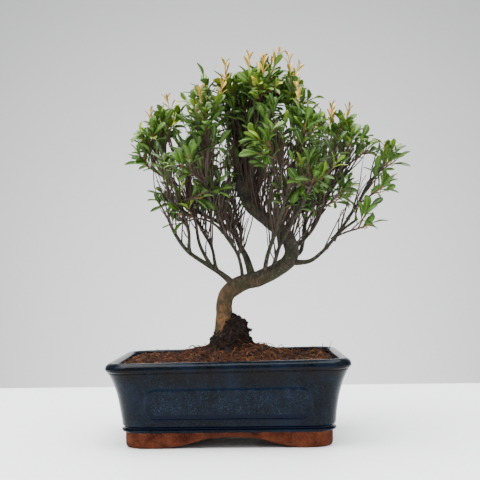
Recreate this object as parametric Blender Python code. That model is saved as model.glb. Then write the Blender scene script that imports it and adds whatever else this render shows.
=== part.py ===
"""Brush cherry bonsai in its glazed pot, as separate solids at real size.

Every length below is in millimetres and every mesh is made in metres, +Z up. The pot
is worked out round its own middle, and at the end the whole object is moved so that
its box is centred on the origin, with the feet of the pot on z = 0.
"""
import math

import bmesh
import bpy
import numpy as np

MM = 0.001
GAP = 0.3                      # clearance between two pieces that touch

# Pot: one fired piece, flared, with a glazed body on bare clay feet
RIM_LENGTH, RIM_DEPTH = 200.0, 150.0
POT_HEIGHT = 70.0
RIM_LEAN = 0.012               # the fired rim dips to the left by this slope
LEAN_FROM = 26.0               # the pot is true up to this height
FOOT_LENGTH, FOOT_DEPTH = 170.0, 122.0
BODY_LENGTH, BODY_DEPTH = 174.4, 126.4     # of the glazed wall at its base
BODY_FROM = 15.0
GLAZE_LINE = 12.8              # where the bare clay foot ends
LIP_HEIGHT, LIP_PROUD = 8.0, 1.8
WALL = 6.5
CORNER_RADIUS = 20.0
CORNER_STEPS = 3
FLOOR_UNDER, FLOOR_TOP = 11.5, 18.0
FOOT_RING = 11.0               # width of the clay ring that the pot stands on
FOOT_CORNER = 12.0
ARCH_LENGTH = 118.0            # cloud-shaped gap under the long sides
ARCH_SHIFT = 3.0               # the left feet are longer than the right ones
ARCH_DEPTH = 70.0              # the gap under the short sides
DRAIN_RADIUS = 6.0
DRAIN_SPREAD = 44.0            # each drain hole from the middle
PANEL_LENGTH = 136.0
PANEL_LOW, PANEL_HIGH = 23.0, 49.4
PANEL_RELIEF, PANEL_SUNK = 2.0, 2.2
PANEL_BEVEL = 1.6
PANEL_CORNER = 9.0

# Plastic drain screens on the pot's floor
SCREEN_SIZE, SCREEN_THICK = 24.0, 1.2
SCREEN_HOLES, SCREEN_PITCH, SCREEN_HOLE = 3, 5.0, 3.2

# Soil
SOIL_EDGE = 64.5               # level where it meets the pot's wall
# What swells above it: rise, middle, half length, half depth and steepness of each
SOIL_SWELLS = ((8.0, 0.0, 62.0, 44.0, 1.0), (6.5, 3.0, 29.0, 25.0, 1.0), (22.0, 1.5, 13.5, 12.5, 2.6))
SOIL_RINGS = (1.0, 0.8, 0.6, 0.42, 0.29, 0.21, 0.165, 0.135, 0.1, 0.05)     # share of the way to the walls
SOIL_RING_MIDDLE = 1.5
SOIL_CRUMBS = 0.8

# Foliage
LEAF_THICK = 0.7
LEAF_ARCH = 0.07               # rise of a blade over its length
LEAF_LENGTH, LEAF_WIDTH = 20.0, 7.8
PAIR_SPREAD = (42, 60)         # degrees between a leaf and its twig
SPRAY_JOINTS = (0.3, 0.55, 0.78)   # side twigs at the first two, leaves at the last
SIDE_TWIG = (17.0, 24.0)
TWIG_RADIUS, TWIG_TIP_RADIUS = 0.95, 0.75
HOSTS, BOWS = 6, 4             # starts tried for each tip, and bows tried from each
BRANCH_RADIUS = 1.5            # at most, where it leaves a limb
CLEAR = 0.6                    # least distance between the pieces of two nodes
SEED = 4391


def collection(name):
    """A new collection in the scene."""
    made = bpy.data.collections.new(name)
    bpy.context.scene.collection.children.link(made)
    return made


def material(name, hexcode, roughness):
    """A Principled material with one colour, given as sRGB hex."""
    channels = [int(hexcode[i:i + 2], 16) / 255 for i in (0, 2, 4)]
    linear = [c / 12.92 if c <= 0.04045 else ((c + 0.055) / 1.055) ** 2.4 for c in channels]
    made = bpy.data.materials.new(name)
    made.use_nodes = True
    shader = made.node_tree.nodes["Principled BSDF"]
    shader.inputs["Base Color"].default_value = (*linear, 1)
    shader.inputs["Roughness"].default_value = roughness
    made.diffuse_color = (*linear, 1)
    return made


def place_mesh(name, points, faces, where, surface=None):
    """A mesh object from points in millimetres."""
    mesh = bpy.data.meshes.new(name)
    mesh.from_pydata((np.asarray(points) * MM).tolist(), [], faces)
    mesh.validate()
    piece = bpy.data.objects.new(name, mesh)
    where.objects.link(piece)
    if surface:
        mesh.materials.append(surface)
    return piece


def loft(name, rings, where, surface=None):
    """A closed skin through rings of equal point count, lowest first, capped at both ends."""
    rings = np.asarray(rings)
    levels, sides = rings.shape[:2]
    faces = [list(range(sides))[::-1]]
    for level in range(levels - 1):
        for side in range(sides):
            low, high = level * sides, (level + 1) * sides
            after = (side + 1) % sides
            faces.append([low + side, low + after, high + after, high + side])
    faces.append([(levels - 1) * sides + side for side in range(sides)])
    return place_mesh(name, rings.reshape(-1, 3), faces, where, surface)


def rounded_ring(length, depth, radius, height):
    """Points round a rectangle with round corners, anticlockwise from the front right corner."""
    turns = np.linspace(0, math.pi / 2, CORNER_STEPS + 1)
    ring = []
    for quarter, (sx, sy) in enumerate([(1, -1), (1, 1), (-1, 1), (-1, -1)]):
        start = quarter * math.pi / 2 - math.pi / 2
        for turn in start + turns:
            ring.append([sx * (length / 2 - radius) + radius * math.cos(turn),
                         sy * (depth / 2 - radius) + radius * math.sin(turn), height])
    return ring


def apply_boolean(piece, operation, cutters, solver="EXACT"):
    """Joins a collection to a mesh object, or cuts it away, and removes the collection's objects."""
    step = piece.modifiers.new(operation.title(), "BOOLEAN")
    step.operation = operation
    step.operand_type = "COLLECTION"
    step.collection = cutters
    step.solver = solver
    bpy.context.view_layer.update()
    seen = piece.evaluated_get(bpy.context.evaluated_depsgraph_get())
    finished = bpy.data.meshes.new_from_object(seen)
    piece.modifiers.clear()
    old = piece.data
    piece.data = finished
    finished.name = piece.name
    bpy.data.meshes.remove(old)
    for cutter in list(cutters.objects):
        bpy.data.objects.remove(cutter)


def move_to(piece, where):
    """Puts an object in one collection alone."""
    for holder in list(piece.users_collection):
        holder.objects.unlink(piece)
    where.objects.link(piece)


def helper(piece):
    """Marks an object that only cuts or joins another."""
    piece.hide_render = True
    piece.display_type = "WIRE"
    return piece


# Pot

def half_sizes(height):
    """Half the pot's length and depth at a height: a concave flare from the foot up to the lip."""
    rise = max(height - BODY_FROM, 0) / (POT_HEIGHT - LIP_HEIGHT - BODY_FROM)
    flare = 0.45 * rise + 0.55 * rise ** 3.2
    bases, rims = (BODY_LENGTH / 2, BODY_DEPTH / 2), (RIM_LENGTH / 2, RIM_DEPTH / 2)
    return [base + (rim - LIP_PROUD - base) * flare for base, rim in zip(bases, rims)]


def lean(x, height):
    """How far a point of the pot or soil is raised by the slope of the rim."""
    return RIM_LEAN * x * np.maximum(height - LEAN_FROM, 0) / (POT_HEIGHT - LEAN_FROM)


def wall_ring(height, inset=0.0, level=None):
    """The pot's outline at a height, moved inwards, and set at another level if one is given."""
    length, depth = half_sizes(height)
    level = height if level is None else level
    ring = rounded_ring(2 * (length - inset), 2 * (depth - inset), CORNER_RADIUS - inset * 0.8, level)
    return [[x, y, level + lean(x, level)] for x, y, z in ring]


def pot_rings():
    """Outside from the foot up, over the lip and down the inside to the floor."""
    lip_low = POT_HEIGHT - LIP_HEIGHT
    foot = (BODY_LENGTH - FOOT_LENGTH) / 2
    rings = [wall_ring(0, foot + 2), wall_ring(1.8, foot + 0.4), wall_ring(4.5, foot)]
    rings += [wall_ring(GLAZE_LINE - 0.4, foot), wall_ring(GLAZE_LINE, 0.4), wall_ring(13.6, -0.7)]
    rings += [wall_ring(14.9, -0.7), wall_ring(15.5, 1.2), wall_ring(17.1, 1.2), wall_ring(18)]
    rings += [wall_ring(height) for height in (32, 44, 52, 58, lip_low)]
    lip = [(lip_low + 0.5, 0.0), (lip_low + 1.6, -LIP_PROUD), (POT_HEIGHT - 3.6, -LIP_PROUD),
           (POT_HEIGHT - 0.8, -0.6), (POT_HEIGHT, 1.6), (POT_HEIGHT - 0.8, 6.2), (POT_HEIGHT - 4, 7.6)]
    rings += [wall_ring(lip_low, inset, level) for level, inset in lip]
    rings += [wall_ring(height, WALL + extra) for height, extra in ((53, 0.4), (34, 0), (21, 0.6))]
    rings.append(wall_ring(21, WALL + 3.4, FLOOR_TOP))
    return rings


def arch_cutter(name, length, reach, turned, where):
    """A cloud-shaped bar: a flat middle, two shoulders and low ends, run through the foot ring."""
    half = length / 2
    side = [(1.0, -2.0), (1.0, 0.3), (0.73, 1.9), (0.58, 3.8), (0.37, 7.3), (0.18, 8.7)]
    outline = [(x * half, z) for x, z in side] + [(-x * half, z) for x, z in reversed(side)]
    rings = []
    for across in (-reach, reach):
        rings.append([[-across, x, z] if turned else [x + ARCH_SHIFT, across, z] for x, z in outline])
    rings[0].reverse()
    rings[1].reverse()
    return helper(loft(name, rings, where))


def panel_plate(sign, where):
    """A raised panel with rounded corners that follows the leaning long wall it stands on."""
    middle, half_high = (PANEL_LOW + PANEL_HIGH) / 2, (PANEL_HIGH - PANEL_LOW) / 2
    flat = []
    turns = np.linspace(0, math.pi / 2, 3)
    for quarter, (sx, sz) in enumerate([(1, -1), (1, 1), (-1, 1), (-1, -1)]):
        for turn in quarter * math.pi / 2 - math.pi / 2 + turns:
            flat.append((sx * (PANEL_LENGTH / 2 - PANEL_CORNER) + PANEL_CORNER * math.cos(turn),
                         middle + sz * (half_high - PANEL_CORNER) + PANEL_CORNER * math.sin(turn)))
    low, high = (half_sizes(height)[1] for height in (PANEL_LOW, PANEL_HIGH))
    rings = []
    for stand, shrink in ((-PANEL_SUNK, 0), (PANEL_RELIEF, PANEL_BEVEL)):
        ring = []
        for x, z in flat:
            out = low + (high - low) * (z - PANEL_LOW) / (PANEL_HIGH - PANEL_LOW) + stand
            x = x * (1 - 2 * shrink / PANEL_LENGTH)
            z = middle + (z - middle) * (1 - shrink / half_high)
            ring.append([sign * x, -sign * out, z])
        rings.append(ring)
    return helper(loft("panel", rings, where))


def make_pot(parts, cutters, surface):
    """The pot with its two panels, hollow foot, arches and drain holes."""
    pot = loft("pot", pot_rings(), parts, surface)
    for sign in (1, -1):
        panel_plate(sign, cutters)
    apply_boolean(pot, "UNION", cutters)
    length, depth = FOOT_LENGTH - 2 * FOOT_RING, FOOT_DEPTH - 2 * FOOT_RING
    inside = [rounded_ring(length - narrowed, depth - narrowed, FOOT_CORNER, height)
              for height, narrowed in ((-3, 0), (FLOOR_UNDER, 3))]
    helper(loft("foot_hollow", inside, cutters))
    arch_cutter("arch_long", ARCH_LENGTH, RIM_DEPTH, False, cutters)
    arch_cutter("arch_end", ARCH_DEPTH, RIM_LENGTH, True, cutters)
    for sign in (1, -1):
        bpy.ops.mesh.primitive_cylinder_add(vertices=16, radius=DRAIN_RADIUS * MM, depth=20 * MM,
                                            location=(sign * DRAIN_SPREAD * MM, 0, FLOOR_TOP * MM))
        move_to(helper(bpy.context.object), cutters)
    apply_boolean(pot, "DIFFERENCE", cutters)
    return pot


def square_plate(name, side, half, low, high, where, surface=None):
    """A square plate centred over a drain hole."""
    corners = ((-half, -half), (half, -half), (half, half), (-half, half))
    rings = [[[side * DRAIN_SPREAD + x, y, height] for x, y in corners] for height in (low, high)]
    return loft(name, rings, where, surface)


def make_screen(name, side, parts, cutters, surface):
    """A square of plastic mesh lying over a drain hole."""
    low = FLOOR_TOP + GAP
    screen = square_plate(name, side, SCREEN_SIZE / 2, low, low + SCREEN_THICK, parts, surface)
    reach = SCREEN_PITCH * (SCREEN_HOLES - 1) / 2
    for x in np.linspace(-reach, reach, SCREEN_HOLES):
        for y in np.linspace(-reach, reach, SCREEN_HOLES):
            bpy.ops.mesh.primitive_cube_add(size=SCREEN_HOLE * MM, location=(
                (side * DRAIN_SPREAD + x) * MM, y * MM, (low + SCREEN_THICK / 2) * MM))
            move_to(helper(bpy.context.object), cutters)
    apply_boolean(screen, "DIFFERENCE", cutters)


# Soil

def soil_height(x, y):
    """Mounded coir compost: low at the walls, a swell in the middle and a steep root clump."""
    crumbs = SOIL_CRUMBS * np.sin(x * 0.31 + 1.3 * np.sin(y * 0.23)) * np.cos(y * 0.37 + 0.8)
    swells = sum(rise * np.exp(-(((x - middle) / length) ** 2 + (y / depth) ** 2) ** steep)
                 for rise, middle, length, depth, steep in SOIL_SWELLS)
    return SOIL_EDGE + swells + crumbs


def soil_rings():
    """From the floor up along the wall, then inwards over the mounded top."""
    def skirt(height, extra):
        return np.array(wall_ring(height, WALL + GAP + extra))

    rings = [skirt(21, 3.8), skirt(21.6, 1.4), skirt(40, 0.5)]
    rings[0][:, 2] = FLOOR_TOP + GAP
    edge = skirt(60, 2.2)
    for share in SOIL_RINGS:
        ring = edge.copy()
        ring[:, :2] = edge[:, :2] * share + np.array([SOIL_RING_MIDDLE, 0.0]) * (1 - share)
        ring[:, 2] = soil_height(ring[:, 0], ring[:, 1]) if share < 1 else SOIL_EDGE
        ring[:, 2] += lean(ring[:, 0], ring[:, 2])
        rings.append(ring)
    return rings


# Tree: routes as x, y, z, chosen to follow the photographed branches

TRUNK = [
    (-2, 0, 50.5), (-3.5, 0, 64.5), (-4.5, 0, 77.5), (-5, 0, 90.5), (-4.6, 0, 103.5), (-4.5, 0, 114.5),
    (-1.5, 0, 123.5), (6, 0, 129.5), (15, 0, 133.5), (24, 0, 135.5), (33, 0, 138.5), (43, 0, 143.5),
    (51, 0, 149.5), (55, -1, 157.5), (54, -2, 165.5), (50.5, -3, 172.5), (43.5, -3, 179.5),
    (34.5, -2, 186.5), (25.5, 0, 194.5), (17.5, 2, 203.5), (15, 3, 213.5)]
TRUNK_RADII = (8.6, 7.3, 6.9, 6.4, 6.0, 4.8)
ROOTS = [
    [(-4.5, 0, 88.5), (-13, -7, 78.5), (-20, -14, 68.5), (-28, -20, 52.5)],
    [(-4.5, 0, 86.5), (4, -10, 79.5), (13, -16, 68.5), (24, -22, 51.5)],
    [(-4.5, 0, 87.5), (6, 7, 78.5), (15, 15, 68.5), (27, 22, 50.5)],
    [(-4.5, 0, 86.5), (-11, 9, 77.5), (-17, 17, 67.5), (-25, 26, 51.5)],
]
ROOT_RADII = (3.6, 1.6)
LIMBS = {
    # name: (start radius, end radius, route)
    "leader_left": (4.4, 1.2, [
        (15, 3, 210.5), (11, 4, 226.5), (8, 5, 240.5), (9.5, 6, 256.5), (12.5, 4, 274.5),
        (16, 2, 290.5)]),
    "leader_right": (3.8, 1.2, [
        (16, 2, 210.5), (20, -3, 225.5), (25, -6, 240.5), (27.5, -8, 256.5), (31.5, -6, 274.5),
        (35.5, -4, 288.5)]),
    "low_left": (2.7, 1.1, [
        (6, 0, 129.5), (-5, -3, 139.5), (-15, -6, 146.5), (-34, -12, 159.5), (-44.5, -16, 173.5),
        (-51.5, -18, 188.5)]),
    "low_left_up": (1.6, 1.0, [
        (-15, -6, 146.5), (-25, -8, 166.5), (-28.5, -6, 186.5), (-34.5, -4, 200.5)]),
    "low_left_inner": (1.5, 1.0, [
        (-11, -5, 144.5), (-15, 2, 164.5), (-23.5, 8, 179.5), (-29.5, 14, 194.5)]),
    "low_left_front": (1.5, 1.0, [
        (-34, -12, 159.5), (-33.5, -20, 178.5), (-39.5, -28, 194.5), (-50.5, -32, 205.5)]),
    "thin_front": (1.7, 1.0, [
        (12, 0, 133.5), (11, -6, 146.5), (7, -11, 159.5), (-3.5, -17, 175.5), (-8.5, -23, 188.5),
        (-14.5, -30, 204.5)]),
    "back_left": (2.9, 1.3, [
        (21, 1, 136.5), (16, 5, 153.5), (10, 9, 165.5), (5.5, 13, 177.5), (0.5, 17, 187.5),
        (-8.5, 22, 197.5), (-16, 32, 211.5), (-22, 44, 228.5)]),
    "wide_left": (1.9, 1.0, [
        (6.5, 12, 176.5), (-8.5, 8, 186.5), (-26.5, 4, 195.5), (-39.5, 1, 206.5), (-50, -2, 221.5),
        (-60, -5, 234.5)]),
    "front_up": (2.0, 1.0, [
        (31, 0, 138.5), (34, -14, 155.5), (39, -26, 169.5), (43.5, -38, 183.5), (48.5, -52, 200.5),
        (53, -62, 217.5)]),
    "front_right": (1.8, 1.0, [
        (38, 0, 141.5), (45, -18, 164.5), (55.5, -32, 184.5), (67.5, -46, 204.5)]),
    "low_right": (2.3, 1.0, [
        (53, 0, 150.5), (63, -3, 149.5), (73, -6, 151.5), (85, -9, 161.5), (97.5, -12, 175.5),
        (112.5, -15, 186.5)]),
    "low_right_up": (1.5, 1.0, [
        (91, -11, 168.5), (104.5, -8, 186.5), (116.5, -4, 204.5), (125, -2, 218.5)]),
    "right_inner": (1.8, 1.0, [
        (54, -1, 159.5), (65, 5, 168.5), (74.5, 10, 178.5), (82.5, 15, 192.5), (90, 21, 210.5)]),
    "right_crown": (2.2, 1.1, [
        (47.5, -3, 175.5), (60.5, 3, 192.5), (75.5, 7, 207.5), (94, 8, 219.5), (109, 7, 231.5)]),
    "back_right": (2.1, 1.1, [
        (53, 0, 154.5), (64, 12, 159.5), (68.5, 27, 178.5), (73.5, 42, 204.5), (80, 54, 227.5)]),
    "back_middle": (2.0, 1.1, [
        (25.5, 1, 194.5), (23.5, 16, 204.5), (20, 32, 220.5), (18, 50, 240.5)]),
}
# Furthest leafy tips: those on the outline of the photographed crown, then the rest by rule
OUTLINE_TIPS = [
    (-87.5, 4, 250.5), (-77.5, -8, 272.5), (-57.5, 10, 288.5), (-38, -6, 305), (-11, 4, 308.5),
    (19, -4, 328.5), (49, 6, 315.5), (74, -4, 299.5), (94.5, 8, 283.5), (116.5, -8, 269.5),
    (136.5, 6, 260.5), (154.5, -6, 252.5), (147, -10, 224.5), (137.5, -20, 188.5), (-68, -14, 215.5),
    (-57.5, -26, 198.5), (-38, 8, 212.5), (106, -14, 210.5)]
CROWN_MIDDLE = (32.0, 0.0, 220.5)
CROWN_DEPTH = 97.0             # from the middle to the front and back of the crown
# The crown's outline seen from the front: degrees up from the right, and reach from the middle
CROWN_TURNS = (-60, -26, -18, 1, 10, 16, 24, 35, 50, 63, 73,
               90, 107, 123, 138, 156, 165, 172, 183, 194, 240)
CROWN_REACH = (62, 92, 112, 113, 122, 126, 107, 95, 91, 93, 98,
               102, 99, 103, 112, 122, 125, 122, 102, 90, 62)
RULE_TIPS = 240                # tried along the rule, of which those clear of the rest are kept
CROWN_SPAN = 1.26              # of the rule's dome: 1 is its upper half
# Domes of tips: share of the reach, and the least way between a tip and the others
CROWN_SHELLS = ((1.0, 54.0), (0.52, 44.0))
LEAST_WAY = 58.0               # from a limb to a tip
WOOD_SHARE = 0.52              # how much of the way to a tip is bare wood


def smooth(route, step):
    """Points along a Catmull-Rom curve through a route, about a step apart."""
    route = np.asarray(route, float)
    padded = np.vstack([2 * route[0] - route[1], route, 2 * route[-1] - route[-2]])
    points = []
    for a, b, c, d in zip(padded, padded[1:], padded[2:], padded[3:]):
        count = max(1, int(round(np.linalg.norm(c - b) / step)))
        t = (np.arange(count) / count)[:, None]
        points.append(0.5 * (2 * b + (c - a) * t + (2 * a - 5 * b + 4 * c - d) * t ** 2
                             + (3 * b - a - 3 * c + d) * t ** 3))
    points.append(route[-1:])
    return np.vstack(points)


def unit(vector):
    """The vector at length one."""
    return np.asarray(vector, float) / np.linalg.norm(vector)


def crown_reach(x, z):
    """How far the crown reaches in the direction x, z from its middle."""
    turn = np.degrees(np.arctan2(z, x))
    return np.interp(np.where(turn < -90, turn + 360, turn), CROWN_TURNS, CROWN_REACH)


def crown_tips():
    """The outline's tips, then tips on a golden-angle spiral over the dome and over one inside it."""
    tips = [np.array(tip, float) for tip in OUTLINE_TIPS]
    for share, spacing in CROWN_SHELLS:
        for index in range(RULE_TIPS):
            lift = 1 - CROWN_SPAN * (index + 0.5) / RULE_TIPS
            turn = index * math.pi * (3 - math.sqrt(5))
            out = math.sqrt(1 - lift * lift)
            away = np.array([out * math.cos(turn), out * math.sin(turn), lift])
            reach = float(crown_reach(away[0], lift))
            tip = np.array(CROWN_MIDDLE) + away * (reach, CROWN_DEPTH, reach) * share
            if min(np.linalg.norm(tip - other) for other in tips) > spacing:
                tips.append(tip)
    return tips


class Tree:
    """Wood and leaves of the tree, each with the node it belongs to."""

    def __init__(self):
        self.wood = []         # node, points, radii
        self.leaves = []       # node, root, along, up, length, width
        self.places = np.zeros((0, 3))
        self.sizes = np.zeros(0)
        self.owners = np.zeros(0, int)

    def free(self, points, size, owner, near=0.0):
        """True where the points stay clear of every other node, and of their own by less."""
        if not len(self.places):
            return True
        apart = np.linalg.norm(self.places[None] - points[:, None], axis=2) - self.sizes[None] - size
        others = self.owners != owner
        if others.any() and apart[:, others].min() < CLEAR:
            return False
        return not (near and (~others).any() and apart[:, ~others].min() < near - size)

    def fill(self, points, sizes, owner):
        """Notes the room that a piece takes."""
        self.places = np.vstack([self.places, points])
        self.sizes = np.concatenate([self.sizes, np.broadcast_to(sizes, len(points))])
        self.owners = np.concatenate([self.owners, np.full(len(points), owner)])

    def add_wood(self, node, points, radii):
        """Adds a tapered length of wood."""
        points = np.asarray(points, float)
        radii = np.broadcast_to(radii, len(points)).astype(float)
        self.wood.append((node, points, radii))
        for a, b, ra, rb in zip(points, points[1:], radii, radii[1:]):
            t = np.linspace(0, 1, 2 + int(np.linalg.norm(b - a) / 1.5))[:, None]
            self.fill(a + (b - a) * t, (ra + (rb - ra) * t)[:, 0], node)


def leaf_room(root, along, up, length, width):
    """Points that stand for a blade when its room is tested."""
    side = np.cross(along, up)
    t = np.linspace(0.2, 1.0, 6)
    rows = [root + along * (length * t)[:, None] + side * (offset * width)
            for offset in (-0.28, 0.0, 0.28)]
    return np.vstack(rows)


def try_leaf(tree, node, root, along, up, length, width):
    """Adds a leaf, turned or shortened a little where it would meet another piece."""
    side = np.cross(along, up)
    for turn, shrink in ((0, 1), (0.3, 1), (-0.3, 1), (0.6, 0.9), (-0.6, 0.9), (0, 0.75)):
        aim = unit(along * math.cos(turn) + side * math.sin(turn))
        size = length * shrink
        room = leaf_room(root, aim, up, size, width * shrink)
        if tree.free(room, 1.3, node, near=1.6):
            tree.leaves.append((node, root, aim, up, size, width * shrink))
            tree.fill(room, 1.3, node)
            return True
    return False


def leaf_pair(tree, node, root, along, across, size, rng):
    """Two leaves opposite each other, leaning forwards out of the twig."""
    for sign in (1, -1):
        spread = math.radians(rng.uniform(*PAIR_SPREAD))
        aim = unit(along * math.cos(spread) + sign * across * math.sin(spread) + np.array([0, 0, 0.12]))
        up = along - aim * np.dot(along, aim)
        up = unit(up + np.array([0, 0, 0.5]) - aim * aim[2] * 0.5)
        up = unit(up - aim * np.dot(up, aim))
        scale = size * rng.uniform(0.86, 1.1)
        try_leaf(tree, node, root, aim, up, LEAF_LENGTH * scale, LEAF_WIDTH * scale)


def end_leaf(tree, node, root, along, rng):
    """A leaf that carries a twig's line on to the tip."""
    up = np.cross(along, unit(np.cross(np.array([0.3, -0.2, 1.0]), along)))
    up = unit(up) * (1 if up[2] >= 0 else -1)
    scale = rng.uniform(0.8, 0.95)
    try_leaf(tree, node, root, along, up, LEAF_LENGTH * scale, LEAF_WIDTH * scale)


def grow_spray(tree, node, points, rng):
    """Side twigs in turned places along a leafy twig, and leaves in pairs along each."""
    lengths = np.concatenate([[0], np.cumsum(np.linalg.norm(np.diff(points, axis=0), axis=1))])
    total = lengths[-1]

    def at(distance):
        spot = np.array([np.interp(distance, lengths, points[:, axis]) for axis in range(3)])
        ahead = np.array([np.interp(distance + 2, lengths, points[:, axis]) for axis in range(3)])
        back = np.array([np.interp(distance - 2, lengths, points[:, axis]) for axis in range(3)])
        return spot, unit(ahead - back)

    turn = rng.uniform(0, math.pi)
    for index, share in enumerate(SPRAY_JOINTS):
        spot, along = at(total * share)
        across = unit(np.cross(along, np.array([0.2, 0.1, 1.0])))
        other = np.cross(along, across)
        turn += math.pi / 2
        heading = across * math.cos(turn) + other * math.sin(turn)
        if share == SPRAY_JOINTS[-1]:
            leaf_pair(tree, node, spot, along, heading, 0.95, rng)
            continue
        sign = 1 if index % 2 else -1
        reach = rng.uniform(*SIDE_TWIG)
        aim = unit(along * 0.72 + heading * sign * 0.7 + np.array([0, 0, 0.12]))
        twig = np.array([spot, spot + aim * reach])
        test = twig[0] + (twig[1] - twig[0]) * np.linspace(0.25, 1, 8)[:, None]
        if not tree.free(test, 0.8, node):
            leaf_pair(tree, node, spot, along, heading, 0.9, rng)
            continue
        tree.add_wood(node, twig, (TWIG_TIP_RADIUS, 0.65))
        inner = unit(np.cross(aim, unit(heading + along * 0.3)))
        leaf_pair(tree, node, spot + aim * reach * 0.7, aim, inner, 0.92, rng)
        end_leaf(tree, node, twig[1] - aim * 0.3, aim, rng)
    ahead = unit(points[-1] - points[-2])
    end_leaf(tree, node, points[-1] - ahead * 0.3, ahead, rng)


def reach_tip(tree, tip, hosts, host_sizes, number, rng):
    """A branch from near wood towards a tip: its bare inner part, its sizes and its leafy outer part."""
    gaps = tip - hosts
    far = np.linalg.norm(gaps, axis=1)
    rise = np.maximum(0, 0.35 - unit_rows(gaps)[:, 2]) * 40
    choices = np.argsort(far + rise + np.maximum(0, LEAST_WAY - far) * 4)
    for choice in np.repeat(choices[:HOSTS], BOWS):
        start, size = hosts[choice], min(host_sizes[choice] * 0.85, BRANCH_RADIUS)
        out = unit(tip - start)
        lift = unit(out + np.array([0, 0, 0.45]))
        length = np.linalg.norm(tip - start) - LEAF_LENGTH * 0.8
        bow = unit(np.cross(out, np.array([0.02, 0.01, 1.0]))) * rng.uniform(-0.13, 0.13) * length
        route = [start, start + lift * length * 0.33 + bow,
                 start + out * length * 0.7 + (0, 0, length * 0.05) + bow * 0.6, start + out * length]
        points = smooth(route, length / 5)
        cut = max(1, int(round(len(points) * WOOD_SHARE)))
        joint = (points[cut - 1] + points[cut]) / 2
        away = unit(points[cut] - points[cut - 1])
        inner = np.vstack([points[:cut], joint])
        outer = np.vstack([joint + away * GAP, points[cut:]])
        clear = tree.free(smooth(inner, 2)[2:], size, 0)
        if clear and tree.free(smooth(outer, 1.5), TWIG_RADIUS, number):
            sizes = np.linspace(size, TWIG_RADIUS, len(inner))
            tree.add_wood(0, inner, sizes)
            tree.add_wood(number, outer, np.linspace(TWIG_RADIUS, TWIG_TIP_RADIUS, len(outer)))
            return inner, sizes, outer
    return None


def grow_tree():
    """The whole tree: trunk and limbs by route, then a branch and a spray for each tip."""
    rng = np.random.default_rng(SEED)
    tree = Tree()
    trunk = smooth(TRUNK, 11)
    radii = np.interp(np.linspace(0, 1, len(trunk)), np.linspace(0, 1, len(TRUNK_RADII)), TRUNK_RADII)
    tree.add_wood(0, trunk, radii)
    for route in ROOTS:
        points = smooth(route, 13)
        tree.add_wood(0, points, np.linspace(*ROOT_RADII, len(points)))
    hosts, host_sizes = [], []
    for first, last, route in LIMBS.values():
        points = smooth(route, 18)
        sizes = np.linspace(first, last, len(points))
        tree.add_wood(0, points, sizes)
        hosts += list(points[len(points) // 3:])
        host_sizes += list(sizes[len(points) // 3:])
    middle = np.array(CROWN_MIDDLE) - (0, 0, 36)
    tips = sorted(crown_tips(), key=lambda tip: np.linalg.norm(tip - middle))
    sprays = []
    for tip in tips:
        found = reach_tip(tree, tip, np.array(hosts), host_sizes, len(sprays) + 1, rng)
        if found is None:
            print("no clear way to the tip at", np.round(tip))
            continue
        inner, sizes, outer = found
        sprays.append(outer)
        hosts += list(inner[1:-1])
        host_sizes += [max(size, 1.0) for size in sizes[1:-1]]
    for number, outer in enumerate(sprays, 1):
        grow_spray(tree, number, outer, rng)
    return tree, len(sprays)


def unit_rows(vectors):
    """Each row at length one."""
    return vectors / np.linalg.norm(vectors, axis=1)[:, None]


def blade(name, root, along, up, length, width, where):
    """A leaf: a blunt outline of five points, bent across its widest place, equally thick all over."""
    side = np.cross(along, up)
    outline = [(-0.03, 0.0, 0.0), (0.58, 0.5, 1.0), (0.98, 0.2, 0.0), (0.98, -0.2, 0.0), (0.58, -0.5, 1.0)]
    top = [root + along * (t * length) + side * (s * width) + up * (LEAF_ARCH * length * arch)
           for t, s, arch in outline]
    points = np.array(top + [point - up * LEAF_THICK for point in top])
    upper = [(0, 1, 4), (1, 2, 3), (1, 3, 4)]
    faces = [list(face) for face in upper] + [[i + 5 for i in reversed(face)] for face in upper]
    faces += [[(i + 1) % 5, i, i + 5, (i + 1) % 5 + 5] for i in range(5)]
    return helper(place_mesh(name, points, faces, where))


def make_tubes(lengths, where):
    """Closed tubes from points and radii, each a bevelled curve made into a mesh."""
    curves = []
    for points, radii, resolution in lengths:
        curve = bpy.data.curves.new("wood", "CURVE")
        curve.dimensions = "3D"
        curve.bevel_depth = MM
        curve.bevel_resolution = resolution
        curve.use_fill_caps = True
        spline = curve.splines.new("POLY")
        spline.points.add(len(points) - 1)
        for place, point, radius in zip(spline.points, points, radii):
            place.co = (*(point * MM), 1)
            place.radius = radius
        holder = bpy.data.objects.new("wood", curve)
        where.objects.link(holder)
        curves.append(holder)
    bpy.context.view_layer.update()
    graph = bpy.context.evaluated_depsgraph_get()
    made = []
    for holder in curves:
        mesh = bpy.data.meshes.new_from_object(holder.evaluated_get(graph))
        shape = bmesh.new()
        shape.from_mesh(mesh)
        bmesh.ops.remove_doubles(shape, verts=shape.verts, dist=0.02 * MM)
        bmesh.ops.recalc_face_normals(shape, faces=shape.faces)
        shape.to_mesh(mesh)
        shape.free()
        mesh.materials.clear()
        piece = bpy.data.objects.new("wood", mesh)
        piece.matrix_world = holder.matrix_world
        where.objects.link(piece)
        made.append(helper(piece))
    for holder in curves:
        bpy.data.objects.remove(holder)
    return made


def sides_for(radius):
    """Curve resolution: more sides on thicker wood."""
    return 2 if radius > 4 else 1 if radius > 2.15 else 0


def make_wood(name, lengths, parts, cutters, surface):
    """One grown piece from its lengths of wood, the first of which carries the others."""
    body = make_tubes(lengths, cutters)[0]
    move_to(body, parts)
    body.name = name
    body.hide_render = False
    body.display_type = "TEXTURED"
    body.data.materials.append(surface)
    return body


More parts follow.
